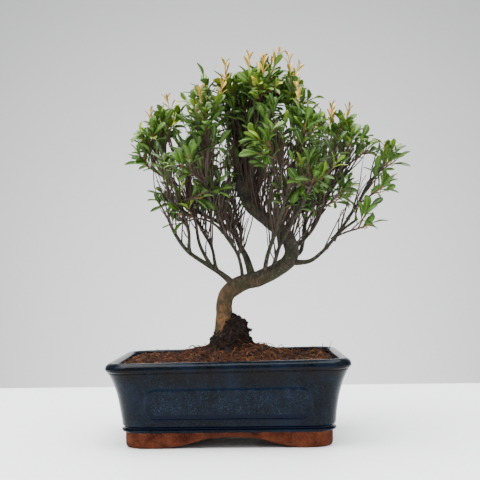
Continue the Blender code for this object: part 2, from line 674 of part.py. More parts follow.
def make_tree(parts, cutters, bark, leaf):
    """The trunk node and one node for each spray."""
    tree, sprays = grow_tree()
    for node in range(sprays + 1):
        name = "trunk" if node == 0 else f"spray_{node:02d}"
        lengths = [(points, radii, sides_for(radii[0]))
                   for owner, points, radii in tree.wood if owner == node]
        body = make_wood(name, lengths, parts, cutters, bark if node == 0 else leaf)
        for owner, *shape in tree.leaves:
            if owner == node:
                blade("blade", *shape, cutters)
        apply_boolean(body, "UNION", cutters, "MANIFOLD")
    return tree


def cut_root_hole(soil, tree, cutters):
    """A plain hole in the soil for the trunk and each root, with clearance all round."""
    wanted = [(points, radii) for node, points, radii in tree.wood if node == 0][:1 + len(ROOTS)]
    lengths = []
    for points, radii in wanted:
        first, last = unit(points[0] - points[1]), unit(points[-1] - points[-2])
        longer = np.vstack([points[0] + first * GAP, points[1:-1], points[-1] + last * GAP])
        lengths.append((longer, radii + GAP * 1.15, sides_for(radii[0])))
    tubes = make_tubes(lengths, cutters)
    joined = collection("root_cutter")
    for tube in tubes[1:]:
        move_to(tube, joined)
    apply_boolean(tubes[0], "UNION", joined, "MANIFOLD")
    bpy.data.collections.remove(joined)
    apply_boolean(soil, "DIFFERENCE", cutters)


def centre_on_box(parts):
    """Moves every piece so that the whole object's box is centred on the vertical axis."""
    corners = []
    for piece in parts.objects:
        count = len(piece.data.vertices)
        flat = np.empty(count * 3)
        piece.data.vertices.foreach_get("co", flat)
        corners.append(flat.reshape(-1, 3))
    every = np.vstack(corners)
    shift = -(every.min(axis=0) + every.max(axis=0)) / 2
    for piece, points in zip(parts.objects, corners):
        points[:, :2] += shift[:2]
        piece.data.vertices.foreach_set("co", points.ravel())
        piece.data.update()
    print("moved by", np.round(shift[:2] / MM, 3), "mm")


def main():
    """Builds every piece in the order pot, drain screens, soil, tree."""
    for old in list(bpy.data.objects):
        bpy.data.objects.remove(old)
    parts, cutters = collection("brush_cherry_bonsai"), collection("cutters")
    pot = make_pot(parts, cutters, material("glazed_pot", "273142", 0.2))
    for name, side in (("drain_screen_left", -1), ("drain_screen_right", 1)):
        make_screen(name, side, parts, cutters, material(name, "1C1C1A", 0.6))
    soil = loft("soil", soil_rings(), parts, material("coir_soil", "4A2C18", 0.95))
    for side in (-1, 1):
        helper(square_plate("screen_pocket", side, SCREEN_SIZE / 2 + GAP, FLOOR_TOP - 2,
                            FLOOR_TOP + SCREEN_THICK + 2 * GAP, cutters))
    apply_boolean(soil, "DIFFERENCE", cutters)
    tree = make_tree(parts, cutters, material("bark", "5A4A38", 0.8), material("foliage", "4C7A24", 0.4))
    cut_root_hole(soil, tree, cutters)
    for piece in (pot, parts.objects["trunk"]):
        piece.data.shade_smooth()
        piece.data.set_sharp_from_angle(angle=math.radians(35))
    centre_on_box(parts)


main()
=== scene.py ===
"""Brush cherry bonsai: the fine surfaces, finishes and stage, laid out as a Blender add-on.

Sizes are in millimetres from the middle of the pot's foot, +Z up, and every mesh is made
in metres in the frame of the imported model. The tree is grown by the same rule, with the
same seed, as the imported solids, so a fine twig or leaf lies where its solid lies.
"""
import functools
import math

import bpy
import numpy as np
from bpy.props import FloatProperty, FloatVectorProperty, IntProperty, PointerProperty
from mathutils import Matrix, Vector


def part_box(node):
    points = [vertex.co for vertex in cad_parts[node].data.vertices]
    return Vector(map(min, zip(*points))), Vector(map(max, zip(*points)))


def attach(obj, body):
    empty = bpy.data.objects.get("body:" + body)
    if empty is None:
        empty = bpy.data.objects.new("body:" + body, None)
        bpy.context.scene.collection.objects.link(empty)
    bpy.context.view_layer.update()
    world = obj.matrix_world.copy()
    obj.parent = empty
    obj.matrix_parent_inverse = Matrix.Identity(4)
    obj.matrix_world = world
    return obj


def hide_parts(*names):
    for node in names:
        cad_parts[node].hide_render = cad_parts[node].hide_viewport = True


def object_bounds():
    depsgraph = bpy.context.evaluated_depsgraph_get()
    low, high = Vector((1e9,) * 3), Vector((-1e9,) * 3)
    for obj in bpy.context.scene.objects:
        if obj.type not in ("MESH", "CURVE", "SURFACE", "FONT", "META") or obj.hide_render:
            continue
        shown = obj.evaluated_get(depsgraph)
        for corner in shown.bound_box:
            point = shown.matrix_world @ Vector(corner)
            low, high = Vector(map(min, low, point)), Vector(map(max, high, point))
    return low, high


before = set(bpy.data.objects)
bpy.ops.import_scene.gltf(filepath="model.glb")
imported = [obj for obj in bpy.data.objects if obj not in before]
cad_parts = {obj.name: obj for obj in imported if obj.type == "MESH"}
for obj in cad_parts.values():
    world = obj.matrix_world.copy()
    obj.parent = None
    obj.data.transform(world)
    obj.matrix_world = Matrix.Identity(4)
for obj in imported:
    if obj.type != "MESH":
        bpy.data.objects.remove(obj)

bl_info = {
    "name": "Brush Cherry Bonsai",
    "version": (1, 0, 0),
    "blender": (4, 5, 0),
    "location": "3D View > Sidebar > Bonsai",
    "description": "Fine pot, soil, bark, twigs and leaves for a small brush cherry bonsai",
    "category": "Add Mesh",
}

CAD_BOX = [list(map(float, corner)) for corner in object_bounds()]
POT_BOX = np.array(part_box("pot")) * 1000
MIDDLE = np.array([(POT_BOX[0][0] + POT_BOX[1][0]) / 2, (POT_BOX[0][1] + POT_BOX[1][1]) / 2, 0.0])
MM = 0.001                     # metres in a millimetre
SEED = 4391                    # of the tree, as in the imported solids
CROWN_SEED, SOIL_SEED, LEAF_SEED = SEED + 7, SEED + 1, SEED + 3
LATTICE_PRIMES = (73856093, 19349663, 83492791)   # they give each cell of the noise its own code
SEED_PRIME, MIXING_PRIME = 2654435, 1274126177


# Small tools

def unit(vector):
    """The vector at length one."""
    return np.asarray(vector, float) / np.linalg.norm(vector)


def unit_rows(vectors):
    """Vectors along the last axis at length one."""
    return vectors / np.maximum(np.linalg.norm(vectors, axis=-1, keepdims=True), 1e-12)


def value_noise(x, y, z, seed):
    """Smooth noise from -1 to 1: random values on a unit lattice, blended by smooth steps."""
    spot = np.stack(np.broadcast_arrays(x, y, z), axis=-1).astype(float)
    base = np.floor(spot).astype(np.int64)
    part = spot - base
    part = part * part * (3 - 2 * part)
    total = 0.0
    for corner in np.ndindex(2, 2, 2):
        cell = (base + np.array(corner)) * LATTICE_PRIMES
        code = cell[..., 0] ^ cell[..., 1] ^ cell[..., 2] ^ seed * SEED_PRIME
        code = (code ^ (code >> 13)) * MIXING_PRIME & 0x7FFFFFFF
        value = ((code ^ (code >> 16)) % 65536) / 32767.5 - 1
        weight = np.prod(np.where(np.array(corner), part, 1 - part), axis=-1)
        total = total + value * weight
    return total


def lumps(x, y, z, rows):
    """Rise * noise of the place / size, added up over rows of a size, a rise and a seed."""
    return sum(rise * value_noise(x / size, y / size, z / size, seed) for size, rise, seed in rows)


def build_mesh(name, points, faces, surface, values=None, uv=None, smooth=True):
    """A mesh object from whole arrays: points in millimetres, and rows of 3 or 4 corners.

    values holds named numbers, one for each point; uv holds one pair for each point.
    """
    mesh = bpy.data.meshes.new(name)
    placed = (np.asarray(points, float).reshape(-1, 3) + MIDDLE) * MM
    mesh.vertices.add(len(placed))
    mesh.vertices.foreach_set("co", placed.astype(np.float32).ravel())
    rows = [np.asarray(block, np.int32) for block in faces if len(block)]
    corners = np.concatenate([block.ravel() for block in rows])
    counts = np.concatenate([np.full(len(block), block.shape[1], np.int32) for block in rows])
    mesh.loops.add(len(corners))
    mesh.loops.foreach_set("vertex_index", corners)
    mesh.polygons.add(len(counts))
    mesh.polygons.foreach_set("loop_start", np.concatenate([[0], np.cumsum(counts)[:-1]]).astype(np.int32))
    for label, numbers in (values or {}).items():
        layer = mesh.attributes.new(label, "FLOAT", "POINT")
        layer.data.foreach_set("value", np.asarray(numbers, np.float32).ravel())
    if uv is not None:
        layer = mesh.uv_layers.new(name="UVMap")
        layer.data.foreach_set("uv", np.asarray(uv, np.float32).reshape(-1, 2)[corners].ravel())
    mesh.materials.append(surface)
    mesh.update(calc_edges=True)
    mesh.polygons.foreach_set("use_smooth", np.full(len(counts), smooth))
    piece = bpy.data.objects.new(name, mesh)
    bpy.context.scene.collection.objects.link(piece)
    return piece


def finish_piece(piece, slot, *nodes):
    """Lets a piece ride on the one body and stand for its nodes, which it hides; its slot is not used."""
    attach(piece, "root")
    if nodes:
        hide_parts(*nodes)


def smooth(route, step):
    """Points along a Catmull-Rom curve through a route, about a step apart."""
    route = np.asarray(route, float)
    padded = np.vstack([2 * route[0] - route[1], route, 2 * route[-1] - route[-2]])
    points = []
    for a, b, c, d in zip(padded, padded[1:], padded[2:], padded[3:]):
        count = max(1, int(round(np.linalg.norm(c - b) / step)))
        t = (np.arange(count) / count)[:, None]
        points.append(0.5 * (2 * b + (c - a) * t + (2 * a - 5 * b + 4 * c - d) * t ** 2
                             + (3 * b - a - 3 * c + d) * t ** 3))
    points.append(route[-1:])
    return np.vstack(points)


def lengths_along(points):
    """How far along a path each of its points lies."""
    return np.concatenate([[0], np.cumsum(np.linalg.norm(np.diff(points, axis=0), axis=1))])


def tube_grid(points, radii, sides, relief=None):
    """A ring of points round each point of a path: centre + radius (cos a * side + sin a * other).

    The side lies in the path's flattest direction, so that the rings never twist.
    """
    ahead = unit_rows(np.gradient(points, axis=0))
    flat = np.linalg.svd(ahead, full_matrices=False)[2][-1]
    side = unit_rows(np.cross(ahead, flat))
    other = np.cross(ahead, side)
    angle = np.arange(sides) * 2 * math.pi / sides
    out = side[:, None] * np.cos(angle)[None, :, None] + other[:, None] * np.sin(angle)[None, :, None]
    size = np.broadcast_to(radii, len(points))[:, None] * (1 if relief is None else relief)
    return points[:, None] + out * np.broadcast_to(size, (len(points), sides))[..., None]


def tube_faces(levels, sides, start=0):
    """Quads between the rings of a tube, and a fan of triangles on the pole at each end."""
    ring = np.arange(sides)
    after = (ring + 1) % sides
    low = (np.arange(levels - 1) * sides)[:, None]
    quads = np.stack([low + ring, low + after, low + sides + after, low + sides + ring], axis=-1)
    last, poles = (levels - 1) * sides, levels * sides
    fans = np.concatenate([np.stack([after, ring, np.full(sides, poles)], axis=-1),
                           np.stack([last + ring, last + after, np.full(sides, poles + 1)], axis=-1)])
    return quads.reshape(-1, 4) + start, fans + start


class Shell:
    """Collects many closed tubes into the arrays of one mesh."""

    def __init__(self):
        self.points, self.quads, self.fans, self.tones, self.count = [], [], [], [], 0

    def tube(self, points, radii, sides, tone=0.0, relief=None):
        """Adds one tube with a pole at each end."""
        grid = tube_grid(points, radii, sides, relief)
        quads, fans = tube_faces(len(points), sides, self.count)
        self.points.append(np.vstack([grid.reshape(-1, 3), points[:1], points[-1:]]))
        tones = np.broadcast_to(np.asarray(tone, float), len(points))
        self.tones.append(np.concatenate([np.repeat(tones, sides), tones[:1], tones[-1:]]))
        self.quads.append(quads)
        self.fans.append(fans)
        self.count += len(points) * sides + 2

    def piece(self, name, surface):
        """The mesh object of everything collected."""
        faces = [np.vstack(self.quads), np.vstack(self.fans)]
        return build_mesh(name, np.vstack(self.points), faces, surface, {"tone": np.concatenate(self.tones)})


# Tree: the same routes, rule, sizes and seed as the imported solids

GAP = 0.3                      # clearance between two pieces that touch
LEAF_ARCH = 0.07               # rise of a blade over its length
LEAF_LENGTH, LEAF_WIDTH = 20.0, 7.8
PAIR_SPREAD = (42, 60)         # degrees between a leaf and its twig
SPRAY_JOINTS = (0.3, 0.55, 0.78)   # side twigs at the first two, leaves at the last
SIDE_TWIG = (17.0, 24.0)
TWIG_RADIUS, TWIG_TIP_RADIUS = 0.95, 0.75
HOSTS, BOWS = 6, 4             # starts tried for each tip, and bows tried from each
BRANCH_RADIUS = 1.5            # at most, where it leaves a limb
CLEAR = 0.6                    # least distance between the pieces of two nodes
LEAF_TRIES = ((0, 1), (0.3, 1), (-0.3, 1), (0.6, 0.9), (-0.6, 0.9), (0, 0.75))   # turn, share of its size
BLADE_ROOM, OWN_ROOM = 1.3, 1.6   # kept free round a blade: from other nodes, and from its own
SKYWARD = 0.12                 # how far leaves and side twigs turn up from their line
UPRIGHT = (0.2, 0.1, 1.0)      # near the vertical, but not along any twig

TRUNK = [
    (-2, 0, 50.5), (-3.5, 0, 64.5), (-4.5, 0, 77.5), (-5, 0, 90.5), (-4.6, 0, 103.5), (-4.5, 0, 114.5),
    (-1.5, 0, 123.5), (6, 0, 129.5), (15, 0, 133.5), (24, 0, 135.5), (33, 0, 138.5), (43, 0, 143.5),
    (51, 0, 149.5), (55, -1, 157.5), (54, -2, 165.5), (50.5, -3, 172.5), (43.5, -3, 179.5),
    (34.5, -2, 186.5), (25.5, 0, 194.5), (17.5, 2, 203.5), (15, 3, 213.5)]
TRUNK_RADII = (8.6, 7.3, 6.9, 6.4, 6.0, 4.8)
ROOTS = [
    [(-4.5, 0, 88.5), (-13, -7, 78.5), (-20, -14, 68.5), (-28, -20, 52.5)],
    [(-4.5, 0, 86.5), (4, -10, 79.5), (13, -16, 68.5), (24, -22, 51.5)],
    [(-4.5, 0, 87.5), (6, 7, 78.5), (15, 15, 68.5), (27, 22, 50.5)],
    [(-4.5, 0, 86.5), (-11, 9, 77.5), (-17, 17, 67.5), (-25, 26, 51.5)],
]
ROOT_RADII = (3.6, 1.6)
LIMBS = {
    # name: (start radius, end radius, route)
    "leader_left": (4.4, 1.2, [
        (15, 3, 210.5), (11, 4, 226.5), (8, 5, 240.5), (9.5, 6, 256.5), (12.5, 4, 274.5),
        (16, 2, 290.5)]),
    "leader_right": (3.8, 1.2, [
        (16, 2, 210.5), (20, -3, 225.5), (25, -6, 240.5), (27.5, -8, 256.5), (31.5, -6, 274.5),
        (35.5, -4, 288.5)]),
    "low_left": (2.7, 1.1, [
        (6, 0, 129.5), (-5, -3, 139.5), (-15, -6, 146.5), (-34, -12, 159.5), (-44.5, -16, 173.5),
        (-51.5, -18, 188.5)]),
    "low_left_up": (1.6, 1.0, [
        (-15, -6, 146.5), (-25, -8, 166.5), (-28.5, -6, 186.5), (-34.5, -4, 200.5)]),
    "low_left_inner": (1.5, 1.0, [
        (-11, -5, 144.5), (-15, 2, 164.5), (-23.5, 8, 179.5), (-29.5, 14, 194.5)]),
    "low_left_front": (1.5, 1.0, [
        (-34, -12, 159.5), (-33.5, -20, 178.5), (-39.5, -28, 194.5), (-50.5, -32, 205.5)]),
    "thin_front": (1.7, 1.0, [
        (12, 0, 133.5), (11, -6, 146.5), (7, -11, 159.5), (-3.5, -17, 175.5), (-8.5, -23, 188.5),
        (-14.5, -30, 204.5)]),
    "back_left": (2.9, 1.3, [
        (21, 1, 136.5), (16, 5, 153.5), (10, 9, 165.5), (5.5, 13, 177.5), (0.5, 17, 187.5),
        (-8.5, 22, 197.5), (-16, 32, 211.5), (-22, 44, 228.5)]),
    "wide_left": (1.9, 1.0, [
        (6.5, 12, 176.5), (-8.5, 8, 186.5), (-26.5, 4, 195.5), (-39.5, 1, 206.5), (-50, -2, 221.5),
        (-60, -5, 234.5)]),
    "front_up": (2.0, 1.0, [
        (31, 0, 138.5), (34, -14, 155.5), (39, -26, 169.5), (43.5, -38, 183.5), (48.5, -52, 200.5),
        (53, -62, 217.5)]),
    "front_right": (1.8, 1.0, [
        (38, 0, 141.5), (45, -18, 164.5), (55.5, -32, 184.5), (67.5, -46, 204.5)]),
    "low_right": (2.3, 1.0, [
        (53, 0, 150.5), (63, -3, 149.5), (73, -6, 151.5), (85, -9, 161.5), (97.5, -12, 175.5),
        (112.5, -15, 186.5)]),
    "low_right_up": (1.5, 1.0, [
        (91, -11, 168.5), (104.5, -8, 186.5), (116.5, -4, 204.5), (125, -2, 218.5)]),
    "right_inner": (1.8, 1.0, [
        (54, -1, 159.5), (65, 5, 168.5), (74.5, 10, 178.5), (82.5, 15, 192.5), (90, 21, 210.5)]),
    "right_crown": (2.2, 1.1, [
        (47.5, -3, 175.5), (60.5, 3, 192.5), (75.5, 7, 207.5), (94, 8, 219.5), (109, 7, 231.5)]),
    "back_right": (2.1, 1.1, [
        (53, 0, 154.5), (64, 12, 159.5), (68.5, 27, 178.5), (73.5, 42, 204.5), (80, 54, 227.5)]),
    "back_middle": (2.0, 1.1, [
        (25.5, 1, 194.5), (23.5, 16, 204.5), (20, 32, 220.5), (18, 50, 240.5)]),
}
# Furthest leafy tips: those on the outline of the photographed crown, then the rest by rule
OUTLINE_TIPS = [
    (-87.5, 4, 250.5), (-77.5, -8, 272.5), (-57.5, 10, 288.5), (-38, -6, 305), (-11, 4, 308.5),
    (19, -4, 328.5), (49, 6, 315.5), (74, -4, 299.5), (94.5, 8, 283.5), (116.5, -8, 269.5),
    (136.5, 6, 260.5), (154.5, -6, 252.5), (147, -10, 224.5), (137.5, -20, 188.5), (-68, -14, 215.5),
    (-57.5, -26, 198.5), (-38, 8, 212.5), (106, -14, 210.5)]
CROWN_MIDDLE = (32.0, 0.0, 220.5)
CROWN_DEPTH = 97.0             # from the middle to the front and back of the crown
# The crown's outline seen from the front: degrees up from the right, and reach from the middle
CROWN_TURNS = (-60, -26, -18, 1, 10, 16, 24, 35, 50, 63, 73,
               90, 107, 123, 138, 156, 165, 172, 183, 194, 240)
CROWN_REACH = (62, 92, 112, 113, 122, 126, 107, 95, 91, 93, 98,
               102, 99, 103, 112, 122, 125, 122, 102, 90, 62)
RULE_TIPS = 240                # tried along the rule, of which those clear of the rest are kept
CROWN_SPAN = 1.26              # of the rule's dome: 1 is its upper half
# Domes of tips: share of the reach, and the least way between a tip and the others
CROWN_SHELLS = ((1.0, 54.0), (0.52, 44.0))
LEAST_WAY = 58.0               # from a limb to a tip
NEAR_COST = 4                  # millimetres that a start counts as further off for each one nearer than that
LEAST_RISE, FLAT_COST = 0.35, 40   # slope that a branch should have, and what a flatter one costs
THINNER = 0.85                 # a branch's start, as a share of its host's radius
BRANCH_LIFT, BRANCH_BOW = 0.45, 0.13
WOOD_SHARE = 0.52              # how much of the way to a tip is bare wood


def crown_reach(x, z):
    """How far the crown reaches in the direction x, z from its middle."""
    turn = np.degrees(np.arctan2(z, x))
    return np.interp(np.where(turn < -90, turn + 360, turn), CROWN_TURNS, CROWN_REACH)


def crown_tips():
    """The outline's tips, then tips on a golden-angle spiral over the dome and over one inside it."""
    tips = [np.array(tip, float) for tip in OUTLINE_TIPS]
    for share, spacing in CROWN_SHELLS:
        for index in range(RULE_TIPS):
            lift = 1 - CROWN_SPAN * (index + 0.5) / RULE_TIPS
            turn = index * math.pi * (3 - math.sqrt(5))
            out = math.sqrt(1 - lift * lift)
            away = np.array([out * math.cos(turn), out * math.sin(turn), lift])
            reach = float(crown_reach(away[0], lift))
            tip = np.array(CROWN_MIDDLE) + away * (reach, CROWN_DEPTH, reach) * share
            if min(np.linalg.norm(tip - other) for other in tips) > spacing:
                tips.append(tip)
    return tips


class Tree:
    """Wood and leaves of the tree, each with the node it belongs to."""

    def __init__(self):
        self.wood = []         # node, points, radii
        self.leaves = []       # node, root, along, up, length, width
        self.places = np.zeros((0, 3))
        self.sizes = np.zeros(0)
        self.owners = np.zeros(0, int)

    def free(self, points, size, owner, near=0.0):
        """True where the points stay clear of every other node, and of their own by less."""
        if not len(self.places):
            return True
        apart = np.linalg.norm(self.places[None] - points[:, None], axis=2) - self.sizes[None] - size
        others = self.owners != owner
        if others.any() and apart[:, others].min() < CLEAR:
            return False
        return not (near and (~others).any() and apart[:, ~others].min() < near - size)

    def fill(self, points, sizes, owner):
        """Notes the room that a piece takes."""
        self.places = np.vstack([self.places, points])
        self.sizes = np.concatenate([self.sizes, np.broadcast_to(sizes, len(points))])
        self.owners = np.concatenate([self.owners, np.full(len(points), owner)])

    def stems(self, owner):
        """The path of each length of a node's wood."""
        return [points for node, points, radii in self.wood if node == owner]

    def add_wood(self, node, points, radii):
        """Adds a tapered length of wood."""
        points = np.asarray(points, float)
        radii = np.broadcast_to(radii, len(points)).astype(float)
        self.wood.append((node, points, radii))
        for a, b, ra, rb in zip(points, points[1:], radii, radii[1:]):
            t = np.linspace(0, 1, 2 + int(np.linalg.norm(b - a) / 1.5))[:, None]
            self.fill(a + (b - a) * t, (ra + (rb - ra) * t)[:, 0], node)


def leaf_room(root, along, up, length, width):
    """Points that stand for a blade when its room is tested."""
    side = np.cross(along, up)
    t = np.linspace(0.2, 1.0, 6)
    rows = [root + along * (length * t)[:, None] + side * (offset * width)
            for offset in (-0.28, 0.0, 0.28)]
    return np.vstack(rows)


def try_leaf(tree, node, root, along, up, length, width):
    """Adds a leaf, turned or shortened a little where it would meet another piece."""
    side = np.cross(along, up)
    for turn, shrink in LEAF_TRIES:
        aim = unit(along * math.cos(turn) + side * math.sin(turn))
        size = length * shrink
        room = leaf_room(root, aim, up, size, width * shrink)
        if tree.free(room, BLADE_ROOM, node, near=OWN_ROOM):
            tree.leaves.append((node, root, aim, up, size, width * shrink))
            tree.fill(room, BLADE_ROOM, node)
            return


def leaf_pair(tree, node, root, along, across, size, rng):
    """Two leaves opposite each other, leaning forwards out of the twig."""
    for sign in (1, -1):
        spread = math.radians(rng.uniform(*PAIR_SPREAD))
        aim = along * math.cos(spread) + sign * across * math.sin(spread)
        aim = unit(aim + np.array([0, 0, SKYWARD]))
        up = along - aim * np.dot(along, aim)
        up = unit(up + np.array([0, 0, 0.5]) - aim * aim[2] * 0.5)
        up = unit(up - aim * np.dot(up, aim))
        scale = size * rng.uniform(0.86, 1.1)
        try_leaf(tree, node, root, aim, up, LEAF_LENGTH * scale, LEAF_WIDTH * scale)


def end_leaf(tree, node, root, along, rng):
    """A leaf that carries a twig's line on to the tip."""
    up = np.cross(along, unit(np.cross(np.array([0.3, -0.2, 1.0]), along)))
    up = unit(up) * (1 if up[2] >= 0 else -1)
    scale = rng.uniform(0.8, 0.95)
    try_leaf(tree, node, root, along, up, LEAF_LENGTH * scale, LEAF_WIDTH * scale)


def grow_spray(tree, node, points, rng):
    """Side twigs in turned places along a leafy twig, and leaves in pairs along each."""
    lengths = lengths_along(points)

    def at(distance):
        spot, ahead, back = (np.array([np.interp(place, lengths, points[:, axis]) for axis in range(3)])
                             for place in (distance, distance + 2, distance - 2))
        return spot, unit(ahead - back)

    turn = rng.uniform(0, math.pi)
    for index, share in enumerate(SPRAY_JOINTS):
        spot, along = at(lengths[-1] * share)
        across = unit(np.cross(along, UPRIGHT))
        other = np.cross(along, across)
        turn += math.pi / 2
        heading = across * math.cos(turn) + other * math.sin(turn)
        if share == SPRAY_JOINTS[-1]:
            leaf_pair(tree, node, spot, along, heading, 0.95, rng)
            continue
        sign = 1 if index % 2 else -1
        reach = rng.uniform(*SIDE_TWIG)
        aim = unit(along * 0.72 + heading * sign * 0.7 + np.array([0, 0, SKYWARD]))
        twig = np.array([spot, spot + aim * reach])
        test = twig[0] + (twig[1] - twig[0]) * np.linspace(0.25, 1, 8)[:, None]
        if not tree.free(test, 0.8, node):
            leaf_pair(tree, node, spot, along, heading, 0.9, rng)
            continue
        tree.add_wood(node, twig, (TWIG_TIP_RADIUS, 0.65))
        inner = unit(np.cross(aim, unit(heading + along * 0.3)))
        leaf_pair(tree, node, spot + aim * reach * 0.7, aim, inner, 0.92, rng)
        end_leaf(tree, node, twig[1] - aim * 0.3, aim, rng)
    ahead = unit(points[-1] - points[-2])
    end_leaf(tree, node, points[-1] - ahead * 0.3, ahead, rng)


def reach_tip(tree, tip, hosts, host_sizes, number, rng):
    """A branch from near wood towards a tip: its bare inner part, its sizes and its leafy outer part."""
    gaps = tip - hosts
    far = np.linalg.norm(gaps, axis=1)
    rise = np.maximum(0, LEAST_RISE - unit_rows(gaps)[:, 2]) * FLAT_COST
    choices = np.argsort(far + rise + np.maximum(0, LEAST_WAY - far) * NEAR_COST)
    for choice in np.repeat(choices[:HOSTS], BOWS):
        start, size = hosts[choice], min(host_sizes[choice] * THINNER, BRANCH_RADIUS)
        out = unit(tip - start)
        lift = unit(out + np.array([0, 0, BRANCH_LIFT]))
        length = np.linalg.norm(tip - start) - LEAF_LENGTH * 0.8
        bow = unit(np.cross(out, (0.02, 0.01, 1.0))) * rng.uniform(-BRANCH_BOW, BRANCH_BOW) * length
        route = [start, start + lift * length * 0.33 + bow,
                 start + out * length * 0.7 + (0, 0, length * 0.05) + bow * 0.6, start + out * length]
        points = smooth(route, length / 5)
        cut = max(1, int(round(len(points) * WOOD_SHARE)))
        joint = (points[cut - 1] + points[cut]) / 2
        away = unit(points[cut] - points[cut - 1])
        inner = np.vstack([points[:cut], joint])
        outer = np.vstack([joint + away * GAP, points[cut:]])
        clear = tree.free(smooth(inner, 2)[2:], size, 0)
        if clear and tree.free(smooth(outer, 1.5), TWIG_RADIUS, number):
            sizes = np.linspace(size, TWIG_RADIUS, len(inner))
            tree.add_wood(0, inner, sizes)
            tree.add_wood(number, outer, np.linspace(TWIG_RADIUS, TWIG_TIP_RADIUS, len(outer)))
            return inner, sizes, outer
    return None


def grow_tree():
    """The whole tree: trunk and limbs by route, then a branch and a spray for each tip."""
    rng = np.random.default_rng(SEED)
    tree = Tree()
    trunk = smooth(TRUNK, 11)
    radii = np.interp(np.linspace(0, 1, len(trunk)), np.linspace(0, 1, len(TRUNK_RADII)), TRUNK_RADII)
    tree.add_wood(0, trunk, radii)
    for route in ROOTS:
        points = smooth(route, 13)
        tree.add_wood(0, points, np.linspace(*ROOT_RADII, len(points)))
    hosts, host_sizes = [], []
    for first, last, route in LIMBS.values():
        points = smooth(route, 18)
        sizes = np.linspace(first, last, len(points))
        tree.add_wood(0, points, sizes)
        hosts += list(points[len(points) // 3:])
        host_sizes += list(sizes[len(points) // 3:])
    middle = np.array(CROWN_MIDDLE) - (0, 0, 36)
    tips = sorted(crown_tips(), key=lambda tip: np.linalg.norm(tip - middle))
    sprays = []
    for tip in tips:
        found = reach_tip(tree, tip, np.array(hosts), host_sizes, len(sprays) + 1, rng)
        if found is None:
            print("no clear way to the tip at", np.round(tip))
            continue
        inner, sizes, outer = found
        sprays.append(outer)
        hosts += list(inner[1:-1])
        host_sizes += [max(size, 1.0) for size in sizes[1:-1]]
    for number, outer in enumerate(sprays, 1):
        grow_spray(tree, number, outer, rng)
    return tree, len(sprays)


# The fine crown: more twigs and leaves on the same wood

FINE_LENGTH, FINE_WIDTH = 0.9, 0.92   # of a fine blade, as shares of its solid one
SOLID_ROOM, FINE_ROOM = 0.75, 0.22    # room that a solid and a fine blade keep, as shares of their sizes
INSIDE_LOW, INSIDE_HIGH = 0.5, 0.3    # how far within the solids' box the fine pieces stay
NEARBY = 22.0                  # two fine pieces further apart than this can't meet
LEAF_GAP, TWIG_GAP = 1.1, 0.4  # least way from a new leaf or twig to what is there
CROWN_EDGE = 1.02              # leaves end here, where 1 is the crown's skin
# Turn, lift and share of its size, tried in this order for a fine leaf
FINE_TRIES = ((0, 0, 1), (0.35, 0.1, 1), (-0.35, 0.1, 1), (0, 0.5, 0.9), (0, -0.4, 0.8))
FINE_SPREAD = (38, 62)         # degrees between a fine leaf and its twig
SHOOT_EDGE, SHORTEST_SHOOT = 0.94, 7.0
SHOOT_RISE = 0.16              # how far a shoot curves up, over its length
SHOOT_RADII = (0.62, 0.36)
SHOOT_ROOM, THICKET_ROOM = 0.5, 0.4   # kept free round a shoot, and round a twig of the thicket
SHOOT_LEAVES = (0.25, 0.93)    # places of the first and last pair on a shoot
MAIN_SHOOTS = (0.12, 0.3, 0.46, 0.62, 0.76, 0.9)   # places of side shoots on a spray's main twig
STEM_PAIRS = (0.42, 0.66, 0.9)   # places of leaf pairs on each of its twigs
SHOOT_REACH, SHOOT_SCALE = (13, 27), (0.58, 0.86)
GOLDEN_TURN = math.radians(137)
# How full of leaves the crown is at each height above the table
FULL_HEIGHTS, FULL_SHARES = (190, 225, 262, 284), (0.08, 0.22, 0.66, 1.2)
INNER_TWIGS = 1250
THICKET_FROM = 150.0           # lowest twig of the thicket inside the crown
THICKET_MIDDLE, THICKET_HALF = 14.0, 58.0   # its middle and half width, along X
THICKET_REACH, THICKET_EDGE = (22, 62), 0.92
THICKET_PAIRS = (0.66, 0.8, 0.93)
YOUNG_FROM = 262.0             # lowest bronze tip
YOUNG_LEFT, YOUNG_LEFT_FROM = -50.0, 225.0   # left of this, they start lower
YOUNG_SIDE = 0.7               # share of side twigs that have one
BRONZE_LENGTH, BRONZE_SPREAD = (17, 30), (16, 34)
BRONZE_EDGE, BRONZE_LEAF_EDGE = 1.12, 1.3
BRONZE_PAIRS = ((0.5, 0.6), (0.8, 0.52), (1.0, 0.42))   # place on the shoot and size of each pair
BRONZE_NARROW = 0.62           # width of its leaves, as a share of a grown leaf's


